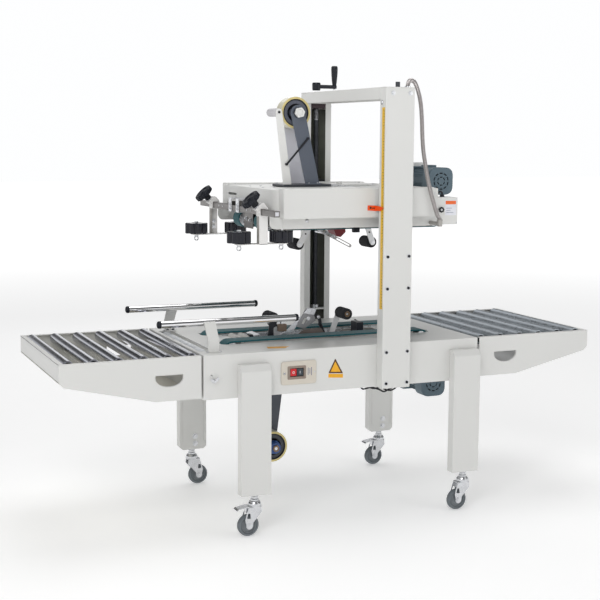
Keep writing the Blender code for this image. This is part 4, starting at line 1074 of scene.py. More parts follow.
def head():
    white = paint()
    nose = 0.026
    outline = [(HEAD_X[1], -HEAD_HALF_Y), (HEAD_X[1], HEAD_HALF_Y)]
    outline += arc(HEAD_X[0] + nose, HEAD_HALF_Y - nose, nose, 90, 180, 8)
    outline += arc(HEAD_X[0] + nose, -HEAD_HALF_Y + nose, nose, 180, 270, 8)
    outline = wound(outline, True)
    shell = panel(outline, "z", HEAD_Z[0] - 0.02, HEAD_Z[1], 0.003, 3)
    skirt_top = 1.03
    wide = HEAD_HALF_Y + 0.01
    cutters = [panel(inset(outline, SHEET), "z", HEAD_Z[0] - 0.05, HEAD_Z[1] - SHEET, 0.0004, 1),
               block((-0.3, HEAD_X[0] + nose + 0.002), (-wide, wide), (0.9, skirt_top + 0.004), SHARP),
               block((-0.3, 0.5), (-wide, wide), (0.9, HEAD_Z[0]), SHARP),
               block((HEAD_X[1] - 0.01, HEAD_X[1] + 0.01), (-HEAD_HALF_Y + SHEET, HEAD_HALF_Y - SHEET),
                     (0.9, 1.044), SHARP),
               block((-0.245, -0.23), (0.105, 0.19), (1.079, 1.087), SHARP, 0.0038, "x"),
               block((-0.138, 0.243), (-0.047, 0.047), (1.1, 1.13), SHARP, 0.006)]
    shapes = [(carved(shell, cutters), white)]
    for side in (-1, 1):
        y = sorted((side * (HEAD_HALF_Y - SHEET), side * HEAD_HALF_Y))
        front = [(-0.256, skirt_top + 0.004), (-0.256, HEAD_Z[0] + 0.02)]
        front += arc(-0.256 + 0.02, HEAD_Z[0] + 0.02, 0.02, 180, 270, 6)[1:]
        front += [(HEAD_X[0] + nose + 0.0018, HEAD_Z[0]), (HEAD_X[0] + nose + 0.0018, skirt_top + 0.004)]
        shapes.append((panel(front, "y", y[0], y[1], 0.0006), white))
        shapes += pan_screw("y", (-0.125, 1.01), side * HEAD_HALF_Y, side, 0.0062)
        shapes += socket_bolt("y", (0.247, 1.008), side * HEAD_HALF_Y, side, 0.0052, 0.004)
        shapes += pan_screw("y", (0.345, 1.095), side * HEAD_HALF_Y, side, 0.004)
    piece("head_tray", "head", shapes, ["head_housing"])

    for name, side in (("front", -1), ("rear", 1)):
        y = sorted((side * (HEAD_HALF_Y - 0.0002), side * COVER_HALF_Y))
        cover = folded_box(COVER_X, y, COVER_Z, "-z", 0.0034)
        bits = [(cover, white)]
        lip = block((COVER_X[0] + 0.004, COVER_X[1] - 0.004),
                    sorted((side * (HEAD_HALF_Y - 0.016), side * (HEAD_HALF_Y + 0.002))),
                    (COVER_Z[1] - 0.0045, COVER_Z[1] - 0.0022))
        bits.append((lip, white))
        for x in (COVER_X[0] + 0.03, 0.02, COVER_X[1] - 0.04):
            bits += pan_screw("z", (x, side * (HEAD_HALF_Y - 0.009)), COVER_Z[1] - 0.0022, 1, 0.004)
        piece(f"head_cover_{name}", "head", bits)

    pointer()
    lift_nuts()
    head_top()
    upper_drive()
    junction_box()
    head_underside()


def pointer():
    """Orange height pointer on the front cover, its tip over the rule."""
    y = -COVER_HALF_Y
    orange = bright("pointer_orange", (0.9, 0.1, 0.012), 0.35)
    blade = [(0.0743, 1.0597), (0.1058, 1.0583), (0.1058, 1.041), (0.0743, 1.0429)]
    shapes = [(panel(eased(blade, 0.0008, 2), "y", y - 0.0018, y - 0.0001, 0.0004), orange)]
    leaf = [(y - 0.0004, 1.0583), (y - 0.03, 1.0572), (y - 0.0565, 1.0545), (y - 0.034, 1.0425),
            (y - 0.0004, 1.041)]
    shapes.append((panel(eased(leaf, 0.001, 2), "x", 0.1042, 0.1058, 0.0004), orange))
    shapes += pan_screw("y", (0.085, 1.0515), y - 0.0018, -1, 0.0034, black_steel())
    shapes.append((block((0.0905, 0.101), (y - 0.002, y - 0.0017), (1.049, 1.0518), SHARP), black_plastic()))
    piece("height_pointer", "head", shapes)


def lift_nuts():
    """Necks through the columns' mouths, with slide pads and bronze nuts on the lead screws."""
    x, y = SCREW_XY[0], abs(SCREW_XY[1])
    bronze = bright("bronze_nut", (0.42, 0.25, 0.09), 0.35, metallic=1.0, spread=0.12)
    for name, side in (("front", -1), ("rear", 1)):
        neck = sorted((side * (COVER_HALF_Y - 0.001), side * (y - 0.014)))
        block_y = sorted((side * (COLUMN_Y[0] + 0.0045), side * (COLUMN_Y[1] - SHEET - 0.0015)))
        outline = eased(rectangle((x - 0.046, x + 0.046), block_y), 0.002, 2)
        shapes = [(block((x - 0.025, x + 0.025), neck, (1.03, 1.105), 0.0015), bar_steel()),
                  (panel([outline, circle(x, side * y, 0.012, 32)], "z", 1.012, 1.123, 0.001), black_steel()),
                  (ring("z", (x, side * y), 0.0098, 0.0118, 1.009, 1.126, 0.0006, 32), bronze)]
        for hand in (-1, 1):
            pad = sorted((x + hand * 0.0462, x + hand * 0.0472))
            shapes.append((block(pad, (block_y[0] + 0.003, block_y[1] - 0.003), (1.02, 1.115), 0.0003),
                           bright("slide_pad", (0.62, 0.6, 0.52), 0.5)))
            for z in (1.045, 1.09):
                shapes += hex_bolt("y", (x + hand * 0.017, z), side * (COVER_HALF_Y + 0.0001), side, 0.004,
                                   0.0038)
        piece(f"lift_nut_{name}", "head", shapes)


def head_top():
    """Raised plates, seam screws and a round collar on top of the head; the rolled rear edge is not drawn."""
    z = HEAD_Z[1]
    shapes = []
    for side in (-1, 1):
        for x in (-0.205, -0.165):
            shapes += pan_screw("z", (x, side * 0.06), z, 1, 0.0042)
        shapes += pan_screw("z", (0.262, side * 0.06), z, 1, 0.0042)
    plate = eased([(0.07, 0.075), (0.3, 0.075), (0.3, 0.225), (0.11, 0.225), (0.07, 0.19)], 0.008, 4)
    shapes.append((panel(plate, "z", z - 0.0002, z + 0.0024, 0.0009), paint()))
    for x, y in ((0.085, 0.09), (0.285, 0.09), (0.285, 0.21), (0.125, 0.21)):
        shapes += pan_screw("z", (x, y), z + 0.0024, 1, 0.0042)
    front = eased(rectangle((0.13, 0.3), (-0.215, -0.075)), 0.008, 4)
    shapes.append((panel(front, "z", z - 0.0002, z + 0.0018, 0.0008), paint()))
    shapes.append((ring("z", (0.176, 0.15), 0.006, 0.011, z + 0.0022, z + 0.0095, 0.0012), paint()))
    piece("head_top_plates", "head", shapes)


def motor(node, body, xz, y, foot_side):
    """Square gear motor: ribbed case, round-cornered ends and a vented fan end at -Y."""
    enamel = motor_enamel()
    r = 0.0475

    def section(size, corner):
        return eased(rectangle((xz[0] - size, xz[0] + size), (xz[1] - size, xz[1] + size)), corner, 8)

    cowl = panel(section(r, 0.031), "y", y[0], y[0] + 0.052, 0.0022, 3)
    vents = []
    for inner, outer, count, gap in ((0.0255, 0.03, 10, 5), (0.012, 0.016, 6, 9)):
        for i in range(count):
            start, end = 360 / count * i + gap, 360 / count * (i + 1) - gap
            slot = arc(*xz, outer, start, end, 5) + arc(*xz, inner, end, start, 5)
            vents.append(panel(slot, "y", y[0] - 0.01, y[0] + 0.0055, SHARP, 1))
    shapes = [(carved(cowl, vents), enamel)]
    dark = bright("vent_shadow", (0.012, 0.014, 0.016), 0.7)
    for inner, outer in ((0.025, 0.0305), (0.0115, 0.0165)):
        shapes.append((ring("y", xz, inner, outer, y[0] + 0.0052, y[0] + 0.0058, SHARP, 40), dark))
    shapes.append((ring("y", xz, 0.0215, 0.0222, y[0] - 0.0004, y[0] + 0.0005, 0.0002, 40), enamel))
    shapes.append((drum("y", xz, 0.042, y[0] + 0.048, y[1] - 0.055, 0.001, 48), enamel))
    for i in range(28):
        lean = 2 * pi * (i + 0.5) / 28
        a, b = cos(lean), sin(lean)
        across = (-b * 0.0008, a * 0.0008)
        fin = [(xz[0] + 0.0405 * a + across[0], xz[1] + 0.0405 * b + across[1]),
               (xz[0] + 0.0405 * a - across[0], xz[1] + 0.0405 * b - across[1]),
               (xz[0] + 0.0452 * a - across[0], xz[1] + 0.0452 * b - across[1]),
               (xz[0] + 0.0452 * a + across[0], xz[1] + 0.0452 * b + across[1])]
        shapes.append((panel(fin, "y", y[0] + 0.05, y[1] - 0.058, 0.0002, 1), enamel))
    shapes.append((panel(section(r, 0.012), "y", y[1] - 0.06, y[1] - 0.0245, 0.0015), enamel))
    shapes.append((panel(section(r, 0.012), "y", y[1] - 0.0235, y[1], 0.0015), enamel))
    for a in (-1, 1):
        for b in (-1, 1):
            shapes += socket_bolt("y", (xz[0] + a * 0.0385, xz[1] + b * 0.0385), y[1] - 0.06, -1, 0.0042,
                                  0.004)
    lead_box = (xz[0] - 0.02, xz[0] + 0.02)
    top = xz[1] - foot_side * (r - 0.001)
    if foot_side > 0:
        foot = (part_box(node)[1][2] - 0.0042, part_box(node)[1][2])
        shapes.append((block((xz[0] - 0.04, xz[0] + 0.04), (y[0] + 0.06, y[1] - 0.01), foot, 0.0008), enamel))
    else:
        box_z = sorted((top - 0.004, top + 0.008))
        shapes.append((block(lead_box, (y[0] + 0.07, y[0] + 0.11), box_z, 0.0015), enamel))
    piece(f"{node}_case", body, shapes, [node])


def upper_drive():
    """Motor, the white plate it hangs on and the drive pulleys behind."""
    xz = (middle("upper_motor", "x"), middle("upper_motor", "z"))
    motor("upper_motor", "head", xz, span("upper_motor", "y"), -1)
    y = (span("upper_motor", "y")[1] + 0.0004, 0.07)
    plate = [(0.35, 0.9875), (0.42, 0.9875), (0.42, 1.045), (0.486, 1.045), (0.486, 1.18), (0.474, 1.192),
             (0.384, 1.192), (0.372, 1.18), (0.372, 1.1), (0.35, 1.1)]
    shapes = [(panel(eased(plate, 0.004, 3), "y", y[0], y[1], 0.001), paint())]
    for a in (-1, 1):
        for b in (-1, 1):
            shapes += hex_bolt("y", (xz[0] + a * 0.036, xz[1] + b * 0.036), y[1], 1, 0.006, 0.005)
    shapes.append((ring("y", xz, 0.006, 0.024, y[1] + 0.006, y[1] + 0.022, 0.001), bar_steel()))
    shapes.append((drum("y", xz, 0.0062, y[1], y[1] + 0.026, 0.0006, 24), zinc()))
    shapes.append((ring("y", (0.416, 1.0), 0.006, 0.02, y[1] + 0.0602, y[1] + 0.068, 0.001), bar_steel()))
    piece("upper_motor_plate", "head", shapes)


def junction_box():
    """Terminal box with a plain label, a gland on its front and a blank orange block."""
    x, y, z = (span("junction_box", axis) for axis in "xyz")
    white = paint()
    shapes = [(rounded_box(x, (y[0] + 0.0016, y[1]), z, 0.0022), white),
              (block((x[0] + 0.0008, x[1] - 0.0008), (y[0], y[0] + 0.0022), (z[0] + 0.0008, z[1] - 0.0008),
                     0.001), white)]
    front = y[0] - 0.0001
    orange = bright("label_orange", (0.86, 0.14, 0.02), 0.45)
    paper = bright("label_paper", (0.78, 0.79, 0.84), 0.5)
    grey = bright("label_grey", (0.22, 0.24, 0.34), 0.5)
    shapes.append((block((x[0] + 0.033, x[1] - 0.006), (front - 0.0004, front), (1.018, 1.069), SHARP),
                   paper))
    shapes.append((block((x[0] + 0.0345, x[1] - 0.008), (front - 0.0006, front - 0.0003), (1.0555, 1.0675),
                         SHARP), orange))
    for left, right, level in ((0.038, 0.06, 1.0415), (0.038, 0.054, 1.034), (0.038, 0.066, 1.0265)):
        shapes.append((block((x[0] + left, x[0] + right), (front - 0.0006, front - 0.0003),
                             (level, level + 0.0016), SHARP), grey))
    gland = (x[0] + 0.017, 1.0375)
    shapes.append((panel([lobed(*gland, 0.0098, 8, 0.0022, 6), circle(*gland, 0.0048, 24)], "y",
                         front - 0.0075, front, 0.0008),
                   black_plastic()))
    shapes.append((drum("y", gland, 0.0042, front - 0.006, front - 0.0005, 0.001, 20),
                   bright("gland_pin", (0.66, 0.67, 0.68), 0.35)))
    for a, b in ((x[0] + 0.005, z[0] + 0.005), (x[1] - 0.005, z[0] + 0.005), (x[1] - 0.005, z[1] - 0.005)):
        shapes += pan_screw("y", (a, b), front, -1, 0.0022)
    shapes.append((drum("z", (x[0] + 0.04, y[0] + 0.035), 0.008, z[1] - 0.0005, z[1] + 0.008, 0.0008, 24),
                   black_plastic()))
    shapes.append((swept(smooth_route([(x[0] + 0.04, y[0] + 0.035, z[1] + 0.005),
                                       (x[0] + 0.04, y[0] + 0.037, z[1] + 0.014),
                                       (x[0] + 0.041, y[0] + 0.05, z[1] + 0.018),
                                       (x[0] + 0.044, y[0] + 0.075, z[1] + 0.01),
                                       (x[0] + 0.048, y[0] + 0.095, z[1] + 0.006)], 0.003), 0.0034, 10),
                   black_rubber()))
    piece("junction_box_case", "head", shapes, ["junction_box"])


def head_underside():
    """Slotted tie bar, red cutter guard and hinge blocks under the cassette, and the nose plate."""
    shapes = []
    lean = degrees(atan2(0.904 - 0.955, 0.13 - 0.03))
    slot_bar = strip((0.03, 0.955), (0.128, 0.905), 0.0062, 8)
    slot = strip((0.078, 0.9305), (0.124, 0.907), 0.003, 8)
    shapes.append((panel([slot_bar, slot], "y", -0.0485, -0.0455, 0.0006), bar_steel()))
    shapes += hex_bolt("y", (0.036, 0.952), -0.0485, -1, 0.005, 0.005)
    shapes += hex_bolt("y", (0.062, 0.939), -0.0485, -1, 0.0045, 0.004, lean)
    shapes.append((rod((0.036, -0.045, 0.952), (0.036, 0.04, 0.952), 0.0045), zinc()))
    arm = strip((0.036, 0.952), (-0.018, 0.985), 0.008, 8)
    shapes.append((panel(arm, "y", -0.045, -0.042, 0.0006), zinc()))
    guard = [(0.066, 0.975), (0.116, 0.975), (0.12, 0.952), (0.1, 0.934), (0.084, 0.94)]
    shapes.append((panel(eased(guard, 0.003, 3), "y", -0.03, 0.03, 0.0015),
                   bright("cutter_guard_red", (0.2, 0.008, 0.012), 0.45)))
    shapes.append((block((0.066, 0.118), (-0.0315, 0.0315), (0.974, 0.99), 0.0015), black_plastic()))
    shapes.append((block((0.1, 0.124), (-0.134, -0.118), (0.958, 0.986), 0.002), black_plastic()))
    piece("upper_cutter_arm", "head", shapes)

    x = -0.244
    dark = dark_bar_steel()
    shapes = [(panel(eased(rectangle((-0.067, 0.015), (0.974, 1.03)), 0.003, 3), "x", x, x + 0.003, 0.0006),
               dark)]
    shapes.append((block((x + 0.003, x + 0.1), (-0.067, 0.015), (1.027, 1.03), 0.0006), dark))
    for y, z in ((-0.044, 1.002), (-0.008, 1.006)):
        shapes += hex_bolt("x", (y, z), x, -1, 0.0046, 0.006, 10)
    for side in (-1, 1):
        low, high = sorted((side * 0.0685, side * 0.0715))
        shapes.append((panel(eased([(-0.226, 0.982), (-0.168, 0.982), (-0.168, 1.03), (-0.214, 1.03),
                                    (-0.226, 1.014)], 0.004, 3),
                             "y", low, high, 0.0006), zinc()))
        shapes += hex_bolt("y", (-0.214, 0.999), side * 0.0685, -side, 0.0085, 0.0022, 10)
    piece("head_nose_plate", "head", shapes)


# ---------------------------------------------------------------- tape units
def cassette(name, body, x0, face_z, into, extra):
    """Side plates, springs, cross rods, tape guide rollers and base plate of a tape unit, with the extra
    shapes passed in; the cutter arm is not drawn here.
    """
    def at(a, b):
        return (x0 + a, face_z + into * b)

    plate = [at(a, b) for a, b in ((-0.072, 0.02), (-0.05, 0.004), (0.292, 0.004), (0.3, 0.02), (0.3, 0.1),
                                   (0.255, 0.138), (0.175, 0.146), (-0.06, 0.146), (-0.072, 0.13))]
    window = [at(a, b) for a,
              b in ((0.085, 0.045), (0.205, 0.045), (0.22, 0.06), (0.205, 0.1), (0.1, 0.1), (0.075, 0.08))]
    shapes = []
    for side in (-1, 1):
        low, high = sorted((side * 0.042, side * 0.045))
        shapes.append((panel([eased(plate, 0.006, 4), eased(window, 0.008, 4)], "y", low, high, 0.0006),
                       zinc()))
        for a, b in ((0.052, 0.03), (0.248, 0.03), (-0.055, 0.11), (0.12, 0.118)):
            shapes += hex_bolt("y", at(a, b), side * 0.045, side, 0.0062, 0.0045, 15)
        spring = helix((0, 0), (0, 0.052), 0.0042, 0.0022, 0.0007, 6, 12)
        lean = Matrix.Translation((*(at(0.07, 0.112)[:1]), side * 0.038,
                                   at(0.07, 0.112)[1])) @ Matrix.Rotation(
            radians(90 if into > 0 else -90), 4, "Y")
        shapes.append((moved(spring, lean), zinc()))
    for a, b in ((0.052, 0.03), (0.248, 0.03), (-0.055, 0.11), (0.12, 0.118)):
        shapes.append((drum("y", at(a, b), 0.005, -0.044, 0.044, 0.0004, 20), zinc()))
    for a, b, r in ((-0.028, 0.105, 0.011), (0.018, 0.12, 0.0095)):
        shapes.append((ring("y", at(a, b), 0.0052, r, -0.033, 0.033, 0.001, 32), guide_roller_cream()))
        shapes.append((drum("y", at(a, b), 0.005, -0.0425, 0.0425, 0.0004, 18), zinc()))
    base_z = sorted((face_z + into * 0.1424, face_z + into * 0.1505))
    back = x0 - (0.028 if into < 0 else 0.065)
    base = [(back, -0.055), (x0 + 0.1, -0.055), (x0 + 0.115, -0.046), (x0 + 0.115, 0.046), (x0 + 0.1, 0.055),
            (back, 0.055)]
    shapes.append((panel(eased(base, 0.003, 2), "z", base_z[0], base_z[1], 0.001), slate_dark()))
    piece(f"{name}_tape_unit_frame", body, shapes + extra, [f"{name}_tape_unit"])


def slate_dark():
    return surface("dark_slate_plate", (0.03, 0.036, 0.046), 0.36, spread=0.12, patch=22, grain=0.2)


def upper_arms():
    """Leaning slate arm in front of the roll, pale plate behind it and the white guide roller arm."""
    x, z = -0.07, 1.363
    foot = HEAD_Z[1] + 0.0085
    arm = [(x + 0.03, foot), (x + 0.082, foot)] + arc(x, z, 0.026, 13, 193, 16)
    arm[2] = (x + 0.026, z + 0.004)
    shapes = [(panel(arm, "y", -0.042, -0.037, 0.0012), slate_paint())]
    shapes.append((block((x + 0.03, x + 0.082), (-0.054, -0.037), (foot - 0.0001, foot + 0.004), 0.0008),
                   slate_paint()))
    shapes += pan_screw("z", (x + 0.04, -0.048), foot + 0.004, 1, 0.0034)
    shapes += pan_screw("z", (x + 0.072, -0.048), foot + 0.004, 1, 0.0034)
    back = [(x + 0.075, foot)] + arc(x, z, 0.034, 0, 180, 16) + [(x - 0.008, foot)]
    pale = surface("pale_lilac_paint", (0.76, 0.76, 0.82), 0.42, spread=0.03, patch=8, grain=0.2)
    shapes.append((panel(back, "y", 0.037, 0.041, 0.001), pale))
    white = bright("white_arm_paint", (0.86, 0.86, 0.84), 0.38, spread=0.015)
    top_x = -0.1385
    arm = [(-0.122, foot), (-0.0905, foot)] + arc(top_x, 1.364, 0.012, 0, 180, 12)
    shapes.append((panel(arm, "y", -0.0385, -0.0358, 0.0008), white))
    shapes += socket_bolt("y", (top_x, 1.364), -0.0385, -1, 0.0044, 0.003)[:2]
    guide = guide_roller_white()
    shapes.append((turned([(0, -0.034), (0.0105, -0.034), (0.0135, -0.0315), (0.014, -0.029), (0.014, 0.029),
                           (0.0135, 0.0315), (0.0105, 0.036), (0, 0.036)], "y", (x - 0.073, z), 40), guide))
    shapes.append((rod((-0.112, -0.045, 1.189), (-0.031, -0.045, 1.279), 0.0034, 0.0008, 14), black_steel()))
    shapes.append((rod((-0.112, -0.0385, 1.189), (-0.112, -0.048, 1.189), 0.0044, 0.0006, 14), black_steel()))
    shapes.append((rod((-0.034, -0.04, 1.276), (-0.034, -0.048, 1.276), 0.0044, 0.0006, 14), black_steel()))
    shapes.append((drum("y", (x - 0.073, z), 0.005, -0.037, 0.0, 0.0005, 20), zinc()))
    shapes.append((drum("y", (x, z), 0.0058, -0.056, 0.038, 0.0005, 24), zinc()))
    hexagon = arc(x, z, 0.0185, 0, 300, 5)
    shapes.append((panel([hexagon, circle(x, z, 0.007, 24)], "y", -0.05, -0.0422, 0.0014), black_plastic()))
    nut = arc(x, z, 0.018, 12, 312, 5)
    shapes.append((panel([eased(nut, 0.002, 2), circle(x, z, 0.0102, 30)], "y", -0.064, -0.0505, 0.0018, 3),
                   white))
    shapes.append((drum("y", (x, z), 0.01, -0.061, -0.051, 0.0012, 30), white))
    for a, b in ((x - 0.04, 0.045), (x + 0.06, 0.045)):
        shapes += hex_bolt("z", (a, b + 0.0035), HEAD_Z[1] + 0.0085, 1, 0.0045, 0.004)
    return shapes


def lower_arm():
    """Tapering slate arm behind the lower roll, its chuck with a blue hand nut, and the guide roller."""
    x, z = -0.15, 0.205
    foot = BED_Z[0] + 0.002
    arm = [(x + 0.068, foot), (x - 0.04, foot)] + arc(x, z, 0.036, 180, 360, 16)
    dark = surface("lower_arm_slate", (0.058, 0.066, 0.084), 0.4, spread=0.08, patch=14, grain=0.25)
    shapes = [(panel(arm, "y", 0.037, 0.041, 0.001), dark)]
    shapes.append((panel(strip((x, z), (x - 0.073, z), 0.016, 12), "y", 0.0411, 0.044, 0.0008), dark))
    guide = guide_roller_white()
    shapes.append((drum("y", (x - 0.073, z), 0.0125, -0.033, 0.038, 0.0012, 36), guide))
    shapes.append((drum("y", (x - 0.073, z), 0.004, -0.038, 0.046, 0.0006, 18), black_steel()))
    shapes.append((drum("y", (x, z), 0.0058, -0.054, 0.046, 0.0005, 24), zinc()))
    blue = bright("hand_nut_blue", (0.035, 0.09, 0.28), 0.38, spread=0.12)
    shapes.append((turned([(0.0062, -0.03), (0.024, -0.03), (0.0215, -0.034), (0.02, -0.047),
                           (0.0185, -0.0495),
                           (0.0062, -0.0495)], "y", (x, z), 40), blue))
    brown = bright("chuck_bronze", (0.26, 0.17, 0.1), 0.4, metallic=0.6)
    shapes.append((panel([arc(x, z, 0.0125, 10, 310, 5), circle(x, z, 0.0061, 20)], "y", -0.056, -0.0496,
                         0.001), brown))
    ear = (DECK_Z + 0.0004, DECK_Z + 0.0036)
    for ends in ((-0.315, -0.192), (0.123, 0.275)):
        for side in (-1, 1):
            low, high = sorted((side * 0.0405, side * 0.0475))
            shapes.append((block(ends, (low, high), ear, 0.0006), zinc()))
            shapes += pan_screw("z", (ends[0] + 0.012 if ends[0] < 0 else ends[1] - 0.012, side * 0.044),
                                ear[1], 1, 0.003)
    return shapes


def tape_roll(name, body, xz, chuck):
    """Tape wound on a core: yellow side faces, pale film outside, slate chuck with a dark hollow."""
    half = 0.024
    yellow = surface("tape_side_yellow", (0.72, 0.6, 0.26), 0.45, spread=0.08, patch=4, grain=0.15,
                     grain_size=0.0006)
    film = surface("tape_film", (0.8, 0.77, 0.62), 0.22, spread=0.05, patch=14, grain=0.05, coat=0.4)
    shapes = [(ring("y", xz, 0.0463, 0.0536, -half, half, 0.0008, 64), yellow),
              (ring("y", xz, 0.053, 0.054, -half + 0.0009, half - 0.0009, 0.0002, 64), film),
              (ring("y", xz, 0.0432, 0.0464, -half - 0.0006, half + 0.0006, 0.0005, 64), black_plastic())]
    face = surface(f"{name}_chuck_face", chuck, 0.38, spread=0.08, patch=18, grain=0.15)
    shapes.append((ring("y", xz, 0.03, 0.0431, -half + 0.003, half - 0.003, 0.0012, 56), face))
    shapes.append((ring("y", xz, 0.02, 0.0301, -0.003, 0.003, 0.0006, 48), black_plastic()))
    shapes.append((ring("y", xz, 0.0066, 0.0201, -half + 0.001, half - 0.001, 0.001, 40), face))
    for i in range(4):
        lean = 90 * i + 45
        spoke = strip((xz[0] + 0.019 * cos(radians(lean)), xz[1] + 0.019 * sin(radians(lean))),
                      (xz[0] + 0.031 * cos(radians(lean)), xz[1] + 0.031 * sin(radians(lean))), 0.0025, 4)
        shapes.append((panel(spoke, "y", -half + 0.006, half - 0.006, 0.0004), black_plastic()))
    piece(f"{name}_wound", body, shapes, [name])


def wipers():
    """Sprung arms with black wiping rollers on both tape units."""
    for unit, face_z, into, x0 in (("upper", 0.97, 1, -0.06), ("lower", 0.605, -1, -0.152)):
        for place, roller_x, pivot in (("front", 0.0, (0.052, 0.03)), ("rear", 0.28, (-0.032, 0.03))):
            node = f"{unit}_{place}_wiper"
            wheel = (x0 + roller_x, face_z - into * 0.056)
            hinge = (x0 + roller_x + pivot[0], face_z + into * pivot[1])
            low, high = sorted((into * -0.0403, into * -0.0372))
            shapes = [(panel([strip(hinge, wheel, 0.0105, 12), circle(*hinge, 0.0059, 24)], "y", low, high,
                             0.0006),
                       white_zinc())]
            low, high = sorted((into * -0.037, into * -0.0205))
            shapes.append((ring("y", hinge, 0.0059, 0.01, low, high, 0.0006, 32), zinc()))
            face = into * -0.0403
            shapes += hex_bolt("y", wheel, face, -into, 0.005, 0.003, 20)
            between = tuple(0.42 * a + 0.58 * b for a, b in zip(hinge, wheel))
            shapes += pan_screw("y", between, face, -into, 0.003, black_steel())
            low, high = sorted((into * -0.0375, into * 0.03))
            shapes.append((drum("y", wheel, 0.0055, low, high, 0.0005, 20), zinc()))
            half = 0.033
            tread = turned([(0.0056, -half), (0.012, -half), (0.013, -half + 0.0018), (0.015, -half + 0.0018),
                            (0.016, -half), (0.018, -half), (0.0196, -half + 0.0016), (0.02, -half + 0.004),
                            (0.02, half - 0.004), (0.0196, half - 0.0016), (0.018, half), (0.0056, half),
                            (0.0056, -half)], "y", wheel, 44)
            shapes.append((tread, black_rubber()))
            core = bright("wiper_bearing_brown", (0.16, 0.1, 0.055), 0.45)
            low, high = sorted((into * half, into * (half + 0.0008)))
            shapes.append((ring("y", wheel, 0.004, 0.0105, low, high, 0.0003, 28), core))
            piece(f"{node}_arm", node, shapes, [node])


def white_zinc():
    return surface("pale_zinc_arm", (0.74, 0.74, 0.745), 0.35, metallic=0.35, spread=0.04, patch=40,
                   grain=0.1)


# ---------------------------------------------------------------- carton guides
BAR_X, BAR_Z = -0.275, 1.041


def press_bar():
    """Square steel bar with end caps, held in two bent straps in front of the nose."""
    dark = dark_bar_steel()
    end = span("press_bar", "y")[1]
    section = eased(rectangle((BAR_X - 0.01, BAR_X + 0.01), (BAR_Z - 0.01, BAR_Z + 0.01)), 0.0016, 3)
    shapes = [(panel(section, "y", -end + 0.0006, end - 0.0006, 0.0006), dark)]
    for side in (-1, 1):
        low, high = sorted((side * (end - 0.001), side * end))
        shapes.append((block((BAR_X - 0.0062, BAR_X + 0.0062), (low, high), (BAR_Z - 0.0062, BAR_Z + 0.0062),
                             0.0004),
                       bright("bar_end_light", (0.72, 0.72, 0.76), 0.4)))
        y = side * 0.035
        path = [(-0.2384, BAR_Z + 0.034), (BAR_X - 0.013, BAR_Z + 0.034), (BAR_X - 0.013, BAR_Z - 0.013),
                (BAR_X + 0.013, BAR_Z - 0.013), (BAR_X + 0.013, BAR_Z - 0.0103),
                (BAR_X - 0.0103, BAR_Z - 0.0103),
                (BAR_X - 0.0103, BAR_Z + 0.031), (-0.2414, BAR_Z + 0.031), (-0.2414, BAR_Z + 0.0002),
                (-0.2384, BAR_Z + 0.0002)]
        shapes.append((panel(eased(path, 0.0009, 2), "y", y - 0.013, y + 0.013, 0.0005), pale_zinc()))
        shapes.append((block((BAR_X - 0.01, -0.2415), (y - 0.0085, y + 0.0085),
                             (BAR_Z + 0.0102, BAR_Z + 0.0225), 0.001), dark))
        for up in (0.013, 0.026):
            shapes += hex_bolt("x", (y, BAR_Z + up - 0.014), BAR_X - 0.013, -1, 0.004, 0.0035)
        for x in (0.118, 0.155):
            shapes += pan_screw("x", (side * x, BAR_Z), BAR_X - 0.01, -1, 0.003)
    piece("press_bar_square", "head", shapes, ["press_bar"])


def pale_zinc():
    return surface("pale_bent_zinc", (0.72, 0.73, 0.76), 0.3, metallic=0.8, spread=0.06, patch=40, grain=0.12)


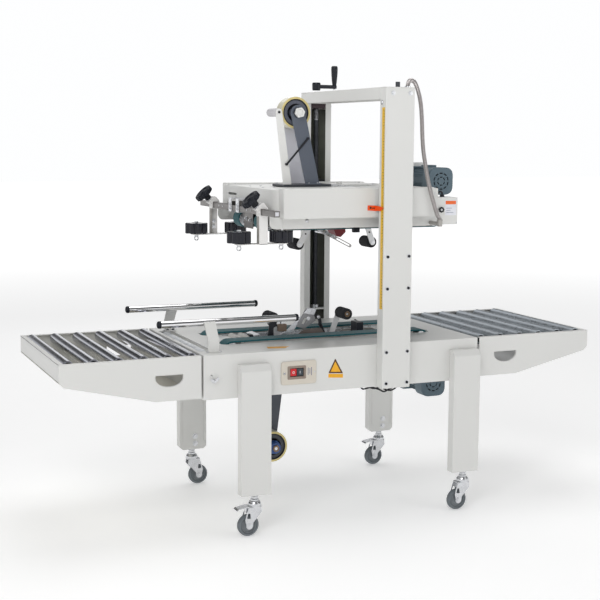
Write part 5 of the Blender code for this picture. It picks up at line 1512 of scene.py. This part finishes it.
def press_arm(node, side):
    """Bent clamp on the bar with its tilted hand knob, a hanging plate and the roller strip."""
    y = side * 0.232
    white = bright("press_arm_white", (0.8, 0.79, 0.775), 0.36, spread=0.03, patch=20)
    # Darker brown-grey copy of the arm's white: painted shade for the flange on the side away from the light.
    shade = surface("press_arm_painted_shade", (0.33, 0.31, 0.285), 0.45, spread=0.08, patch=25)
    clamp = [(-0.015, -0.0145), (-0.015, 0.001), (-0.029, 0.0085), (-0.008, 0.0295), (0.001, 0.0295),
             (0.015, 0.0135), (0.015, -0.0145)]
    outline = [(BAR_X + a, BAR_Z + b) for a, b in clamp]
    hole = rectangle((BAR_X - 0.0105, BAR_X + 0.0105), (BAR_Z - 0.0105, BAR_Z + 0.0105))
    shapes = [(panel([eased(outline, 0.0022, 3), hole], "y", y - 0.0148, y + 0.0148, 0.001), white)]
    strip_z = 0.94
    face = sorted((y + side * 0.0135, y + side * 0.0105))
    shapes.append((block((BAR_X - 0.015, BAR_X + 0.015), face, (strip_z - 0.004, BAR_Z + 0.004), 0.0008),
                   white))
    # The -X flange is painted in the darker copy as painted shade.
    flange = sorted((y + side * 0.0105, y - side * 0.01))
    shapes.append((block((BAR_X - 0.015, BAR_X - 0.0122), flange, (strip_z, BAR_Z - 0.014), 0.0006), shade))
    inner = sorted((side * 0.204, y + side * 0.0135))
    shapes.append((block((BAR_X - 0.088, BAR_X + 0.088), inner, (strip_z - 0.004, strip_z - 0.0008), 0.0008,
                         0.01), white))
    for up in (0.982, 0.962):
        shapes += hex_bolt("y", (BAR_X, up), y + side * 0.0105, -side, 0.0048, 0.0038)
    axle_y = side * 0.215
    for hand in (-1, 1):
        x = BAR_X + hand * 0.0735
        shapes.append((drum("z", (x, axle_y), 0.0055, strip_z - 0.01, 0.9805, 0.0006, 20), zinc()))
        shapes.append((panel(arc(x, axle_y, 0.008, 10, 310, 5), "z", 0.979, 0.9836, 0.0008), zinc()))
        shapes.append((panel(arc(x, axle_y, 0.008, 25, 325, 5), "z", strip_z - 0.0095, strip_z - 0.0042,
                             0.0008), zinc()))
        loop = [(x + 0.0068 * cos(t), axle_y,
                 0.9235 + 0.0068 * sin(t)) for t in [2 * pi * i / 26 - pi / 2 for i in range(26)]]
        shapes.append((swept(loop, 0.0023, 10), zinc()))
    toward = Vector((-1, 0, 1)).normalized()
    centre = Vector((BAR_X, y, BAR_Z))
    tilt = Vector((0, 0, 1)).rotation_difference(toward).to_matrix().to_4x4()
    place = Matrix.Translation(centre) @ tilt
    plastic = black_plastic()
    grip = turned([(0, 0.049), (0.015, 0.049), (0.017, 0.05), (0.03, 0.0505), (0.03, 0.061), (0.0285, 0.064),
                   (0.024, 0.065), (0.021, 0.0635), (0.012, 0.0635), (0.01, 0.0655), (0, 0.0655)], "z",
                  (0, 0), 48)
    rim = panel([lobed(0, 0, 0.0345, 12, 0.003, 6), circle(0, 0, 0.0292, 48)], "z", 0.0485, 0.064, 0.0026, 3)
    hub = turned([(0, 0.03), (0.011, 0.03), (0.012, 0.033), (0.0125, 0.047), (0.016, 0.0495), (0, 0.0495)],
                 "z", (0, 0), 32)
    stud = drum("z", (0, 0), 0.005, 0.012, 0.031, 0.0004, 20)
    shapes += [(moved(grip, place), plastic), (moved(rim, place), plastic), (moved(hub, place), plastic),
               (moved(stud, place), zinc())]
    washer = ring("z", (0, 0), 0.0051, 0.0105, 0.0265, 0.0285, 0.0005, 28)
    shapes.append((moved(washer, place), pale_zinc()))
    piece(f"{node}_clamp", node, shapes, [node])


def press_roller(node):
    """Upright rubber roller with a fluted side."""
    x, y, z = middle(node, "x"), middle(node, "y"), span(node, "z")
    outline = lobed(x, y, 0.0408, 8, 0.0075, 12)
    gloss = surface("black_fluted_rubber", (0.004, 0.005, 0.012), 0.16, spread=0.2, patch=60, grain=0.05,
                    specular=0.4,
                    uneven=0.04)
    shapes = [(panel([outline, circle(x, y, 0.0145, 60)], "z", z[0] + 0.0006, z[1] - 0.0002, 0.003, 4),
               gloss),
              (ring("z", (x, y), 0.0058, 0.0148, z[0] + 0.0002, z[1] - 0.003, 0.0008, 36), black_plastic()),
              (ring("z", (x, y), 0.0058, 0.011, z[1] - 0.004, z[1] - 0.0008, 0.0006, 32), zinc())]
    piece(f"{node}_tyre", node, shapes, [node])


def side_rail(node, side):
    """Chrome guide tube with black end plugs on a white bent strip bolted to the deck."""
    x = span(node, "x")
    radius, z, foot_x = 0.012, 0.687, -0.449
    foot_y = span(node, "y")[0 if side < 0 else 1] - side * 0.01
    y = foot_y - side * 0.052
    white = paint()
    shapes = [(ring("x", (y, z), 0.0095, radius - 0.0006, x[0] + 0.011, x[1] - 0.011, 0.0006, 40), chrome())]
    for end, out in ((x[0], -1), (x[1], 1)):
        cap = [(0, end), (radius * 0.55, end), (radius * 0.86, end - out * 0.0018),
               (radius, end - out * 0.0052),
               (radius, end - out * 0.0118), (0.0094, end - out * 0.0122), (0.0094, end - out * 0.02),
               (0, end - out * 0.02)]
        shapes.append((turned(cap, "x", (y, z), 36), black_plastic()))
    deck, t = DECK_Z + 0.0003, 0.0032
    strip_line = [(foot_y + side * 0.0098, deck), (foot_y + side * 0.0098, deck + t), (foot_y, deck + t),
                  (foot_y, deck + 0.038), (y + side * (radius + 0.001), z + 0.004),
                  (y + side * (radius - 0.0024), z + 0.004), (y + side * (radius - 0.0024), z - 0.004),
                  (foot_y - side * t, deck + 0.037), (foot_y - side * t, deck + t),
                  (foot_y - side * 0.026, deck + t), (foot_y - side * 0.026, deck)]
    shapes.append((panel(eased(strip_line, 0.0016, 3), "x", foot_x - 0.0188, foot_x + 0.0188, 0.0008), white))
    for hand in (-1, 1):
        shapes += socket_bolt("z", (foot_x + hand * 0.0105, foot_y - side * 0.014), deck + t, 1, 0.0042,
                              0.0048)
        shapes.append((block(sorted((foot_x + hand * 0.019, foot_x + hand * 0.0245)),
                             (foot_y - 0.008, foot_y + 0.002),
                             (deck, deck + 0.004), 0.001), zinc()))
    shapes += pan_screw("y", (foot_x, z - 0.0005), y + side * (radius + 0.0009), side, 0.0042)
    piece(f"{node}_tube", node, shapes, [node])


# ---------------------------------------------------------------- on and in the deck
def infeed_roller():
    """Grey ribbed roller across the infeed end of the deck, with its edge strips."""
    rib = surface("ribbed_grey_roller", (0.7, 0.72, 0.75), 0.3, spread=0.05, patch=30, grain=0.1)
    profile = [(0, -0.218)]
    for i in range(10):
        y = -0.2175 + 0.0435 * i
        profile += [(0.0138, y + 0.001), (0.0168, y + 0.0025), (0.0184, y + 0.0085), (0.0184, y + 0.035),
                    (0.0168, y + 0.041), (0.0138, y + 0.0425)]
    profile += [(0, 0.218)]
    # A dark drum inside the ribs shows in the gaps between them: painted shade in the grooves.
    core = surface("roller_groove_painted_shade", (0.075, 0.08, 0.09), 0.5, spread=0.1, patch=30, grain=0.1)
    z = DECK_Z - 0.0195
    shapes = [(turned(profile, "y", (-0.465, z), 36), rib),
              (drum("y", (-0.465, z), 0.0152, -0.2172, 0.2172, 0.0005, 32), core),
              (drum("y", (-0.465, z), 0.0055, -0.224, 0.224, 0.0005, 20), zinc())]
    dark = bright("slot_shadow", (0.05, 0.05, 0.052), 0.7)
    shapes.append((block((-0.4885, -0.4415), (-0.2255, 0.2255), (DECK_Z - 0.042, DECK_Z - 0.039), 0.0003),
                   dark))
    for y in (-0.2255, 0.2225):
        shapes.append((block((-0.487, -0.443), (y, y + 0.003), (DECK_Z - 0.039, DECK_Z - 0.0035), 0.0006),
                       zinc()))
    piece("ribbed_infeed_roller", "frame", shapes)


def deck_mechanism():
    """Cutter arms, their blade guard and the brackets that stand in the deck's middle slot."""
    steel = pale_zinc()
    grey = brushed("grey_bracket_steel", (1, 1, 0.2), (0.3, 0.3, 0.31), 0.34)
    shapes = []
    near = (-0.05, -0.0462)
    arm = [(-0.196, 0.596), (-0.15, 0.6), (-0.118, 0.614), (-0.056, 0.668), (-0.048, 0.656), (-0.098, 0.606),
           (-0.12, 0.59), (-0.196, 0.588)]
    shapes.append((panel(eased(arm, 0.004, 3), "y", near[0], near[1], 0.0006), steel))
    guard = [(-0.078, 0.63), (-0.05, 0.676), (-0.01, 0.668), (-0.004, 0.648), (-0.046, 0.622)]
    window = [(-0.058, 0.64), (-0.046, 0.66), (-0.036, 0.656), (-0.048, 0.638)]
    shapes.append((panel([eased(guard, 0.003, 3), eased(window, 0.002, 2)], "y", near[0] - 0.0042,
                         near[0] - 0.0004, 0.0006), grey))
    shapes.append((panel(eased([(-0.05, 0.676), (-0.034, 0.694), (0.0, 0.69), (-0.01, 0.668)], 0.003, 3), "y",
                         near[0] - 0.004, near[0] + 0.004, 0.0008), steel))
    shapes.append((rod((-0.024, -0.0555, 0.682), (-0.024, -0.036, 0.682), 0.0052, 0.0008, 16), zinc()))
    shapes += hex_bolt("y", (-0.032, 0.657), near[0] - 0.0042, -1, 0.0046, 0.004)
    hook = arc(-0.012, 0.64, 0.033, 120, -25, 10) + arc(-0.012, 0.64, 0.0215, -25, 120, 10)
    shapes.append((panel(hook, "y", near[0] - 0.001, near[1] - 0.0002, 0.0006), black_steel()))
    shapes.append((panel(eased([(0.01, 0.634), (0.022, 0.634), (0.034, 0.604), (0.022, 0.6)], 0.003, 3), "y",
                         near[0] - 0.001, near[1], 0.0006), black_steel()))
    shapes += hex_bolt("y", (0.008, 0.66), near[0] - 0.001, -1, 0.004, 0.004)
    shapes.append((panel(eased([(-0.074, 0.602), (-0.052, 0.618), (0.016, 0.622), (0.03, 0.602)], 0.004, 3),
                         "y",
                         near[0] - 0.0055, near[0] - 0.002, 0.0006),
                   surface("brown_grey_plate", (0.2, 0.165, 0.15), 0.4, metallic=0.4, spread=0.1,
                           patch=30)))
    bracket = [(-0.182, 0.602), (-0.176, 0.64), (-0.184, 0.646), (-0.15, 0.65), (-0.146, 0.636),
               (-0.16, 0.632), (-0.16, 0.602)]
    shapes.append((panel(eased(bracket, 0.003, 3), "y", near[0] - 0.001, near[1], 0.0006), black_steel()))
    shapes.append((panel(eased(rectangle((-0.148, -0.116), (0.618, 0.644)), 0.005, 4), "y", near[0] - 0.012,
                         near[0] - 0.0006, 0.0012),
                   surface("brown_roller", (0.17, 0.12, 0.085), 0.42, spread=0.1, patch=30)))
    shapes.append((drum("y", (-0.132, 0.647), 0.0045, near[0] - 0.01, near[0], 0.0006, 18), zinc()))
    shapes.append((block((0.168, 0.193), (-0.03, 0.022), (0.585, 0.629), 0.0022), black_plastic()))
    shapes += socket_bolt("z", (0.175, 0.0), 0.633, 1, 0.004, 0.003)
    strip_z = (DECK_Z + 0.0004, DECK_Z + 0.0028)
    for side in (-1, 1):
        low, high = sorted((side * 0.048, side * 0.056))
        shapes.append((block((-0.3, 0.262), (low, high), strip_z, 0.0006), steel))
    cream = guide_roller_cream()
    for x, low, high in ((-0.285, -0.04, 0.04), (-0.252, -0.036, 0.036)):
        profile = [(0, low), (0.0085, low)]
        for i in range(5):
            a = low + (high - low) * i / 5
            profile += [(0.013, a + 0.002), (0.0135, a + 0.008), (0.011, a + 0.014)]
        profile += [(0.0085, high), (0, high)]
        shapes.append((turned(profile, "y", (x, 0.5945), 32), cream))
    shapes.append((block((-0.243, -0.23), (-0.04, -0.01), (0.593, 0.61), 0.003), black_plastic()))
    shapes.append((panel(eased([(-0.229, 0.59), (-0.229, 0.606), (-0.206, 0.61), (-0.196, 0.598),
                                (-0.196, 0.59)], 0.003, 3), "y",
                         -0.04, 0.038, 0.001), steel))
    piece("lower_cutter_arms", "frame", shapes)


def switch():
    """Moulded switch plate with its framed window and two push buttons."""
    beige = bright("switch_beige", (0.66, 0.61, 0.53), 0.4, spread=0.02)
    brown = bright("switch_frame_brown", (0.28, 0.22, 0.18), 0.42)
    back, front = -0.304, -0.309
    plate = [eased(rectangle((-0.237, -0.113), (0.483, 0.56)), 0.009, 5),
             rectangle((-0.214, -0.152), (0.502, 0.543))]
    shapes = [(panel(plate, "y", front, back, 0.0016, 3), beige)]
    rim = [eased(rectangle((-0.2155, -0.1505), (0.5005, 0.5445)), 0.004, 4),
           eased(rectangle((-0.2065, -0.158), (0.509, 0.537)), 0.002, 3)]
    shapes.append((panel(rim, "y", front - 0.0012, back, 0.0008), brown))
    shapes.append((block((-0.21, -0.155), (-0.2985, -0.296), (0.505, 0.541), 0.0003), black_plastic()))
    ink = bright("label_ink", (0.16, 0.17, 0.26), 0.5)
    for x, z, length in ((-0.144, 0.512, 0.024), (-0.138, 0.516, 0.018), (-0.132, 0.51, 0.027)):
        shapes.append((block((x, x + 0.0022), (front - 0.0003, front + 0.0001), (z, z + length), SHARP), ink))
    shapes += pan_screw("y", (-0.2262, 0.5215), front, -1, 0.0042)
    shapes += pan_screw("y", (-0.1195, 0.5215), front, -1, 0.003)
    piece("switch_plate", "frame", shapes)
    for node, colour, mark in (("stop_button", (0.62, 0.012, 0.018), (0.85, 0.8, 0.78)),
                               ("start_button", (0.035, 0.045, 0.055), (0.62, 0.64, 0.66))):
        x, z, y = span(node, "x"), span(node, "z"), span(node, "y")
        face = bright(f"{node}_plastic", colour, 0.3)
        centre = (sum(x) / 2, sum(z) / 2)
        bits = [(block(x, (y[0] + 0.0002, y[1]), z, 0.0014, 0.0016, "y"), face),
                (ring("y", centre, 0.0026, 0.004, y[0] - 0.0001, y[0] + 0.0004, SHARP, 24)
                 if node == "stop_button" else
                 block((centre[0] - 0.001, centre[0] + 0.001), (y[0] - 0.0001, y[0] + 0.0004),
                       (centre[1] - 0.0042, centre[1] + 0.0042), SHARP),
                 bright(f"{node}_mark", mark, 0.4))]
        piece(f"{node}_cap", node, bits, [node])


def signs():
    """Blank amber patches: a framed triangle with a bar under it, and a strip on the deck."""
    amber = bright("sign_amber", (0.86, 0.42, 0.012), 0.4)
    brown = bright("sign_brown", (0.1, 0.035, 0.008), 0.45)
    y = -BED_HALF_Y
    triangle = [(-0.068, 0.5115), (-0.015, 0.5075), (-0.0435, 0.559)]
    inner = inset(wound(triangle, True), 0.0048)
    shapes = [(panel(eased(triangle, 0.003, 3), "y", y - 0.0003, y, SHARP, 1), brown),
              (panel(eased(inner, 0.0015, 2), "y", y - 0.0006, y - 0.0003, SHARP, 1), amber)]
    bar = [(-0.068, 0.5095), (-0.015, 0.5055), (-0.015, 0.4925), (-0.068, 0.4965)]
    shapes.append((panel(bar, "y", y - 0.0003, y, SHARP, 1), amber))
    deck = [(-0.262, -0.254), (-0.206, -0.266), (-0.18, -0.238), (-0.254, -0.222)]
    shapes.append((panel(deck, "z", DECK_Z + 0.0001, DECK_Z + 0.0004, SHARP, 1), amber))
    piece("amber_patches", "frame", shapes)


def wiring():
    """Loose black leads below the front column, to the lower motor."""
    shapes = []
    for route in ([(0.06, -0.285, 0.452), (0.07, -0.285, 0.444), (0.1, -0.284, 0.4475), (0.13, -0.283, 0.438),
                   (0.15, -0.282, 0.429), (0.172, -0.28, 0.437), (0.195, -0.276, 0.444),
                   (0.215, -0.268, 0.453)],
                  [(0.08, -0.278, 0.453), (0.112, -0.279, 0.442), (0.14, -0.279, 0.444),
                   (0.158, -0.279, 0.434),
                   (0.182, -0.277, 0.431), (0.206, -0.272, 0.442), (0.222, -0.262, 0.453)],
                  [(0.18, -0.27, 0.453), (0.215, -0.262, 0.44), (0.262, -0.235, 0.434), (0.31, -0.19, 0.434),
                   (0.352, -0.13, 0.437), (0.374, -0.085, 0.435)]):
        shapes.append((swept(smooth_route(route, 0.005), 0.0028, 8), black_rubber()))
    piece("motor_leads", "frame", shapes)


# ---------------------------------------------------------------- the machine
def build():
    studio()
    bed()
    for name in ("infeed", "outfeed"):
        table(name)
    for name, rear, brake in (("front_infeed", False, True), ("front_outfeed", False, False),
                              ("rear_infeed", True, False), ("rear_outfeed", True, True)):
        leg(f"leg_{name}", rear)
        caster(name, brake)
    column("column_front", -1)
    column("column_rear", 1)
    ruler()
    top_beam()
    lead_screws()
    conduit()
    head()
    cassette("upper", "head", -0.06, 0.97, 1, upper_arms())
    cassette("lower", "frame", -0.152, 0.605, -1, lower_arm())
    tape_roll("upper_tape_roll", "upper_tape_roll", (-0.07, 1.363), (0.115, 0.125, 0.16))
    tape_roll("lower_tape_roll", "lower_tape_roll", (-0.15, 0.205), (0.04, 0.045, 0.055))
    wipers()
    motor("lower_motor", "frame", (0.415, 0.414), span("lower_motor", "y"), 1)
    press_bar()
    for side, place in ((-1, "front"), (1, "rear")):
        press_arm(f"press_arm_{place}", side)
        side_rail(f"side_rail_{place}", side)
        for end in ("infeed", "outfeed"):
            press_roller(f"press_roller_{place}_{end}")
    infeed_roller()
    deck_mechanism()
    switch()
    signs()
    wiring()


build()

bpy.context.view_layer.update()
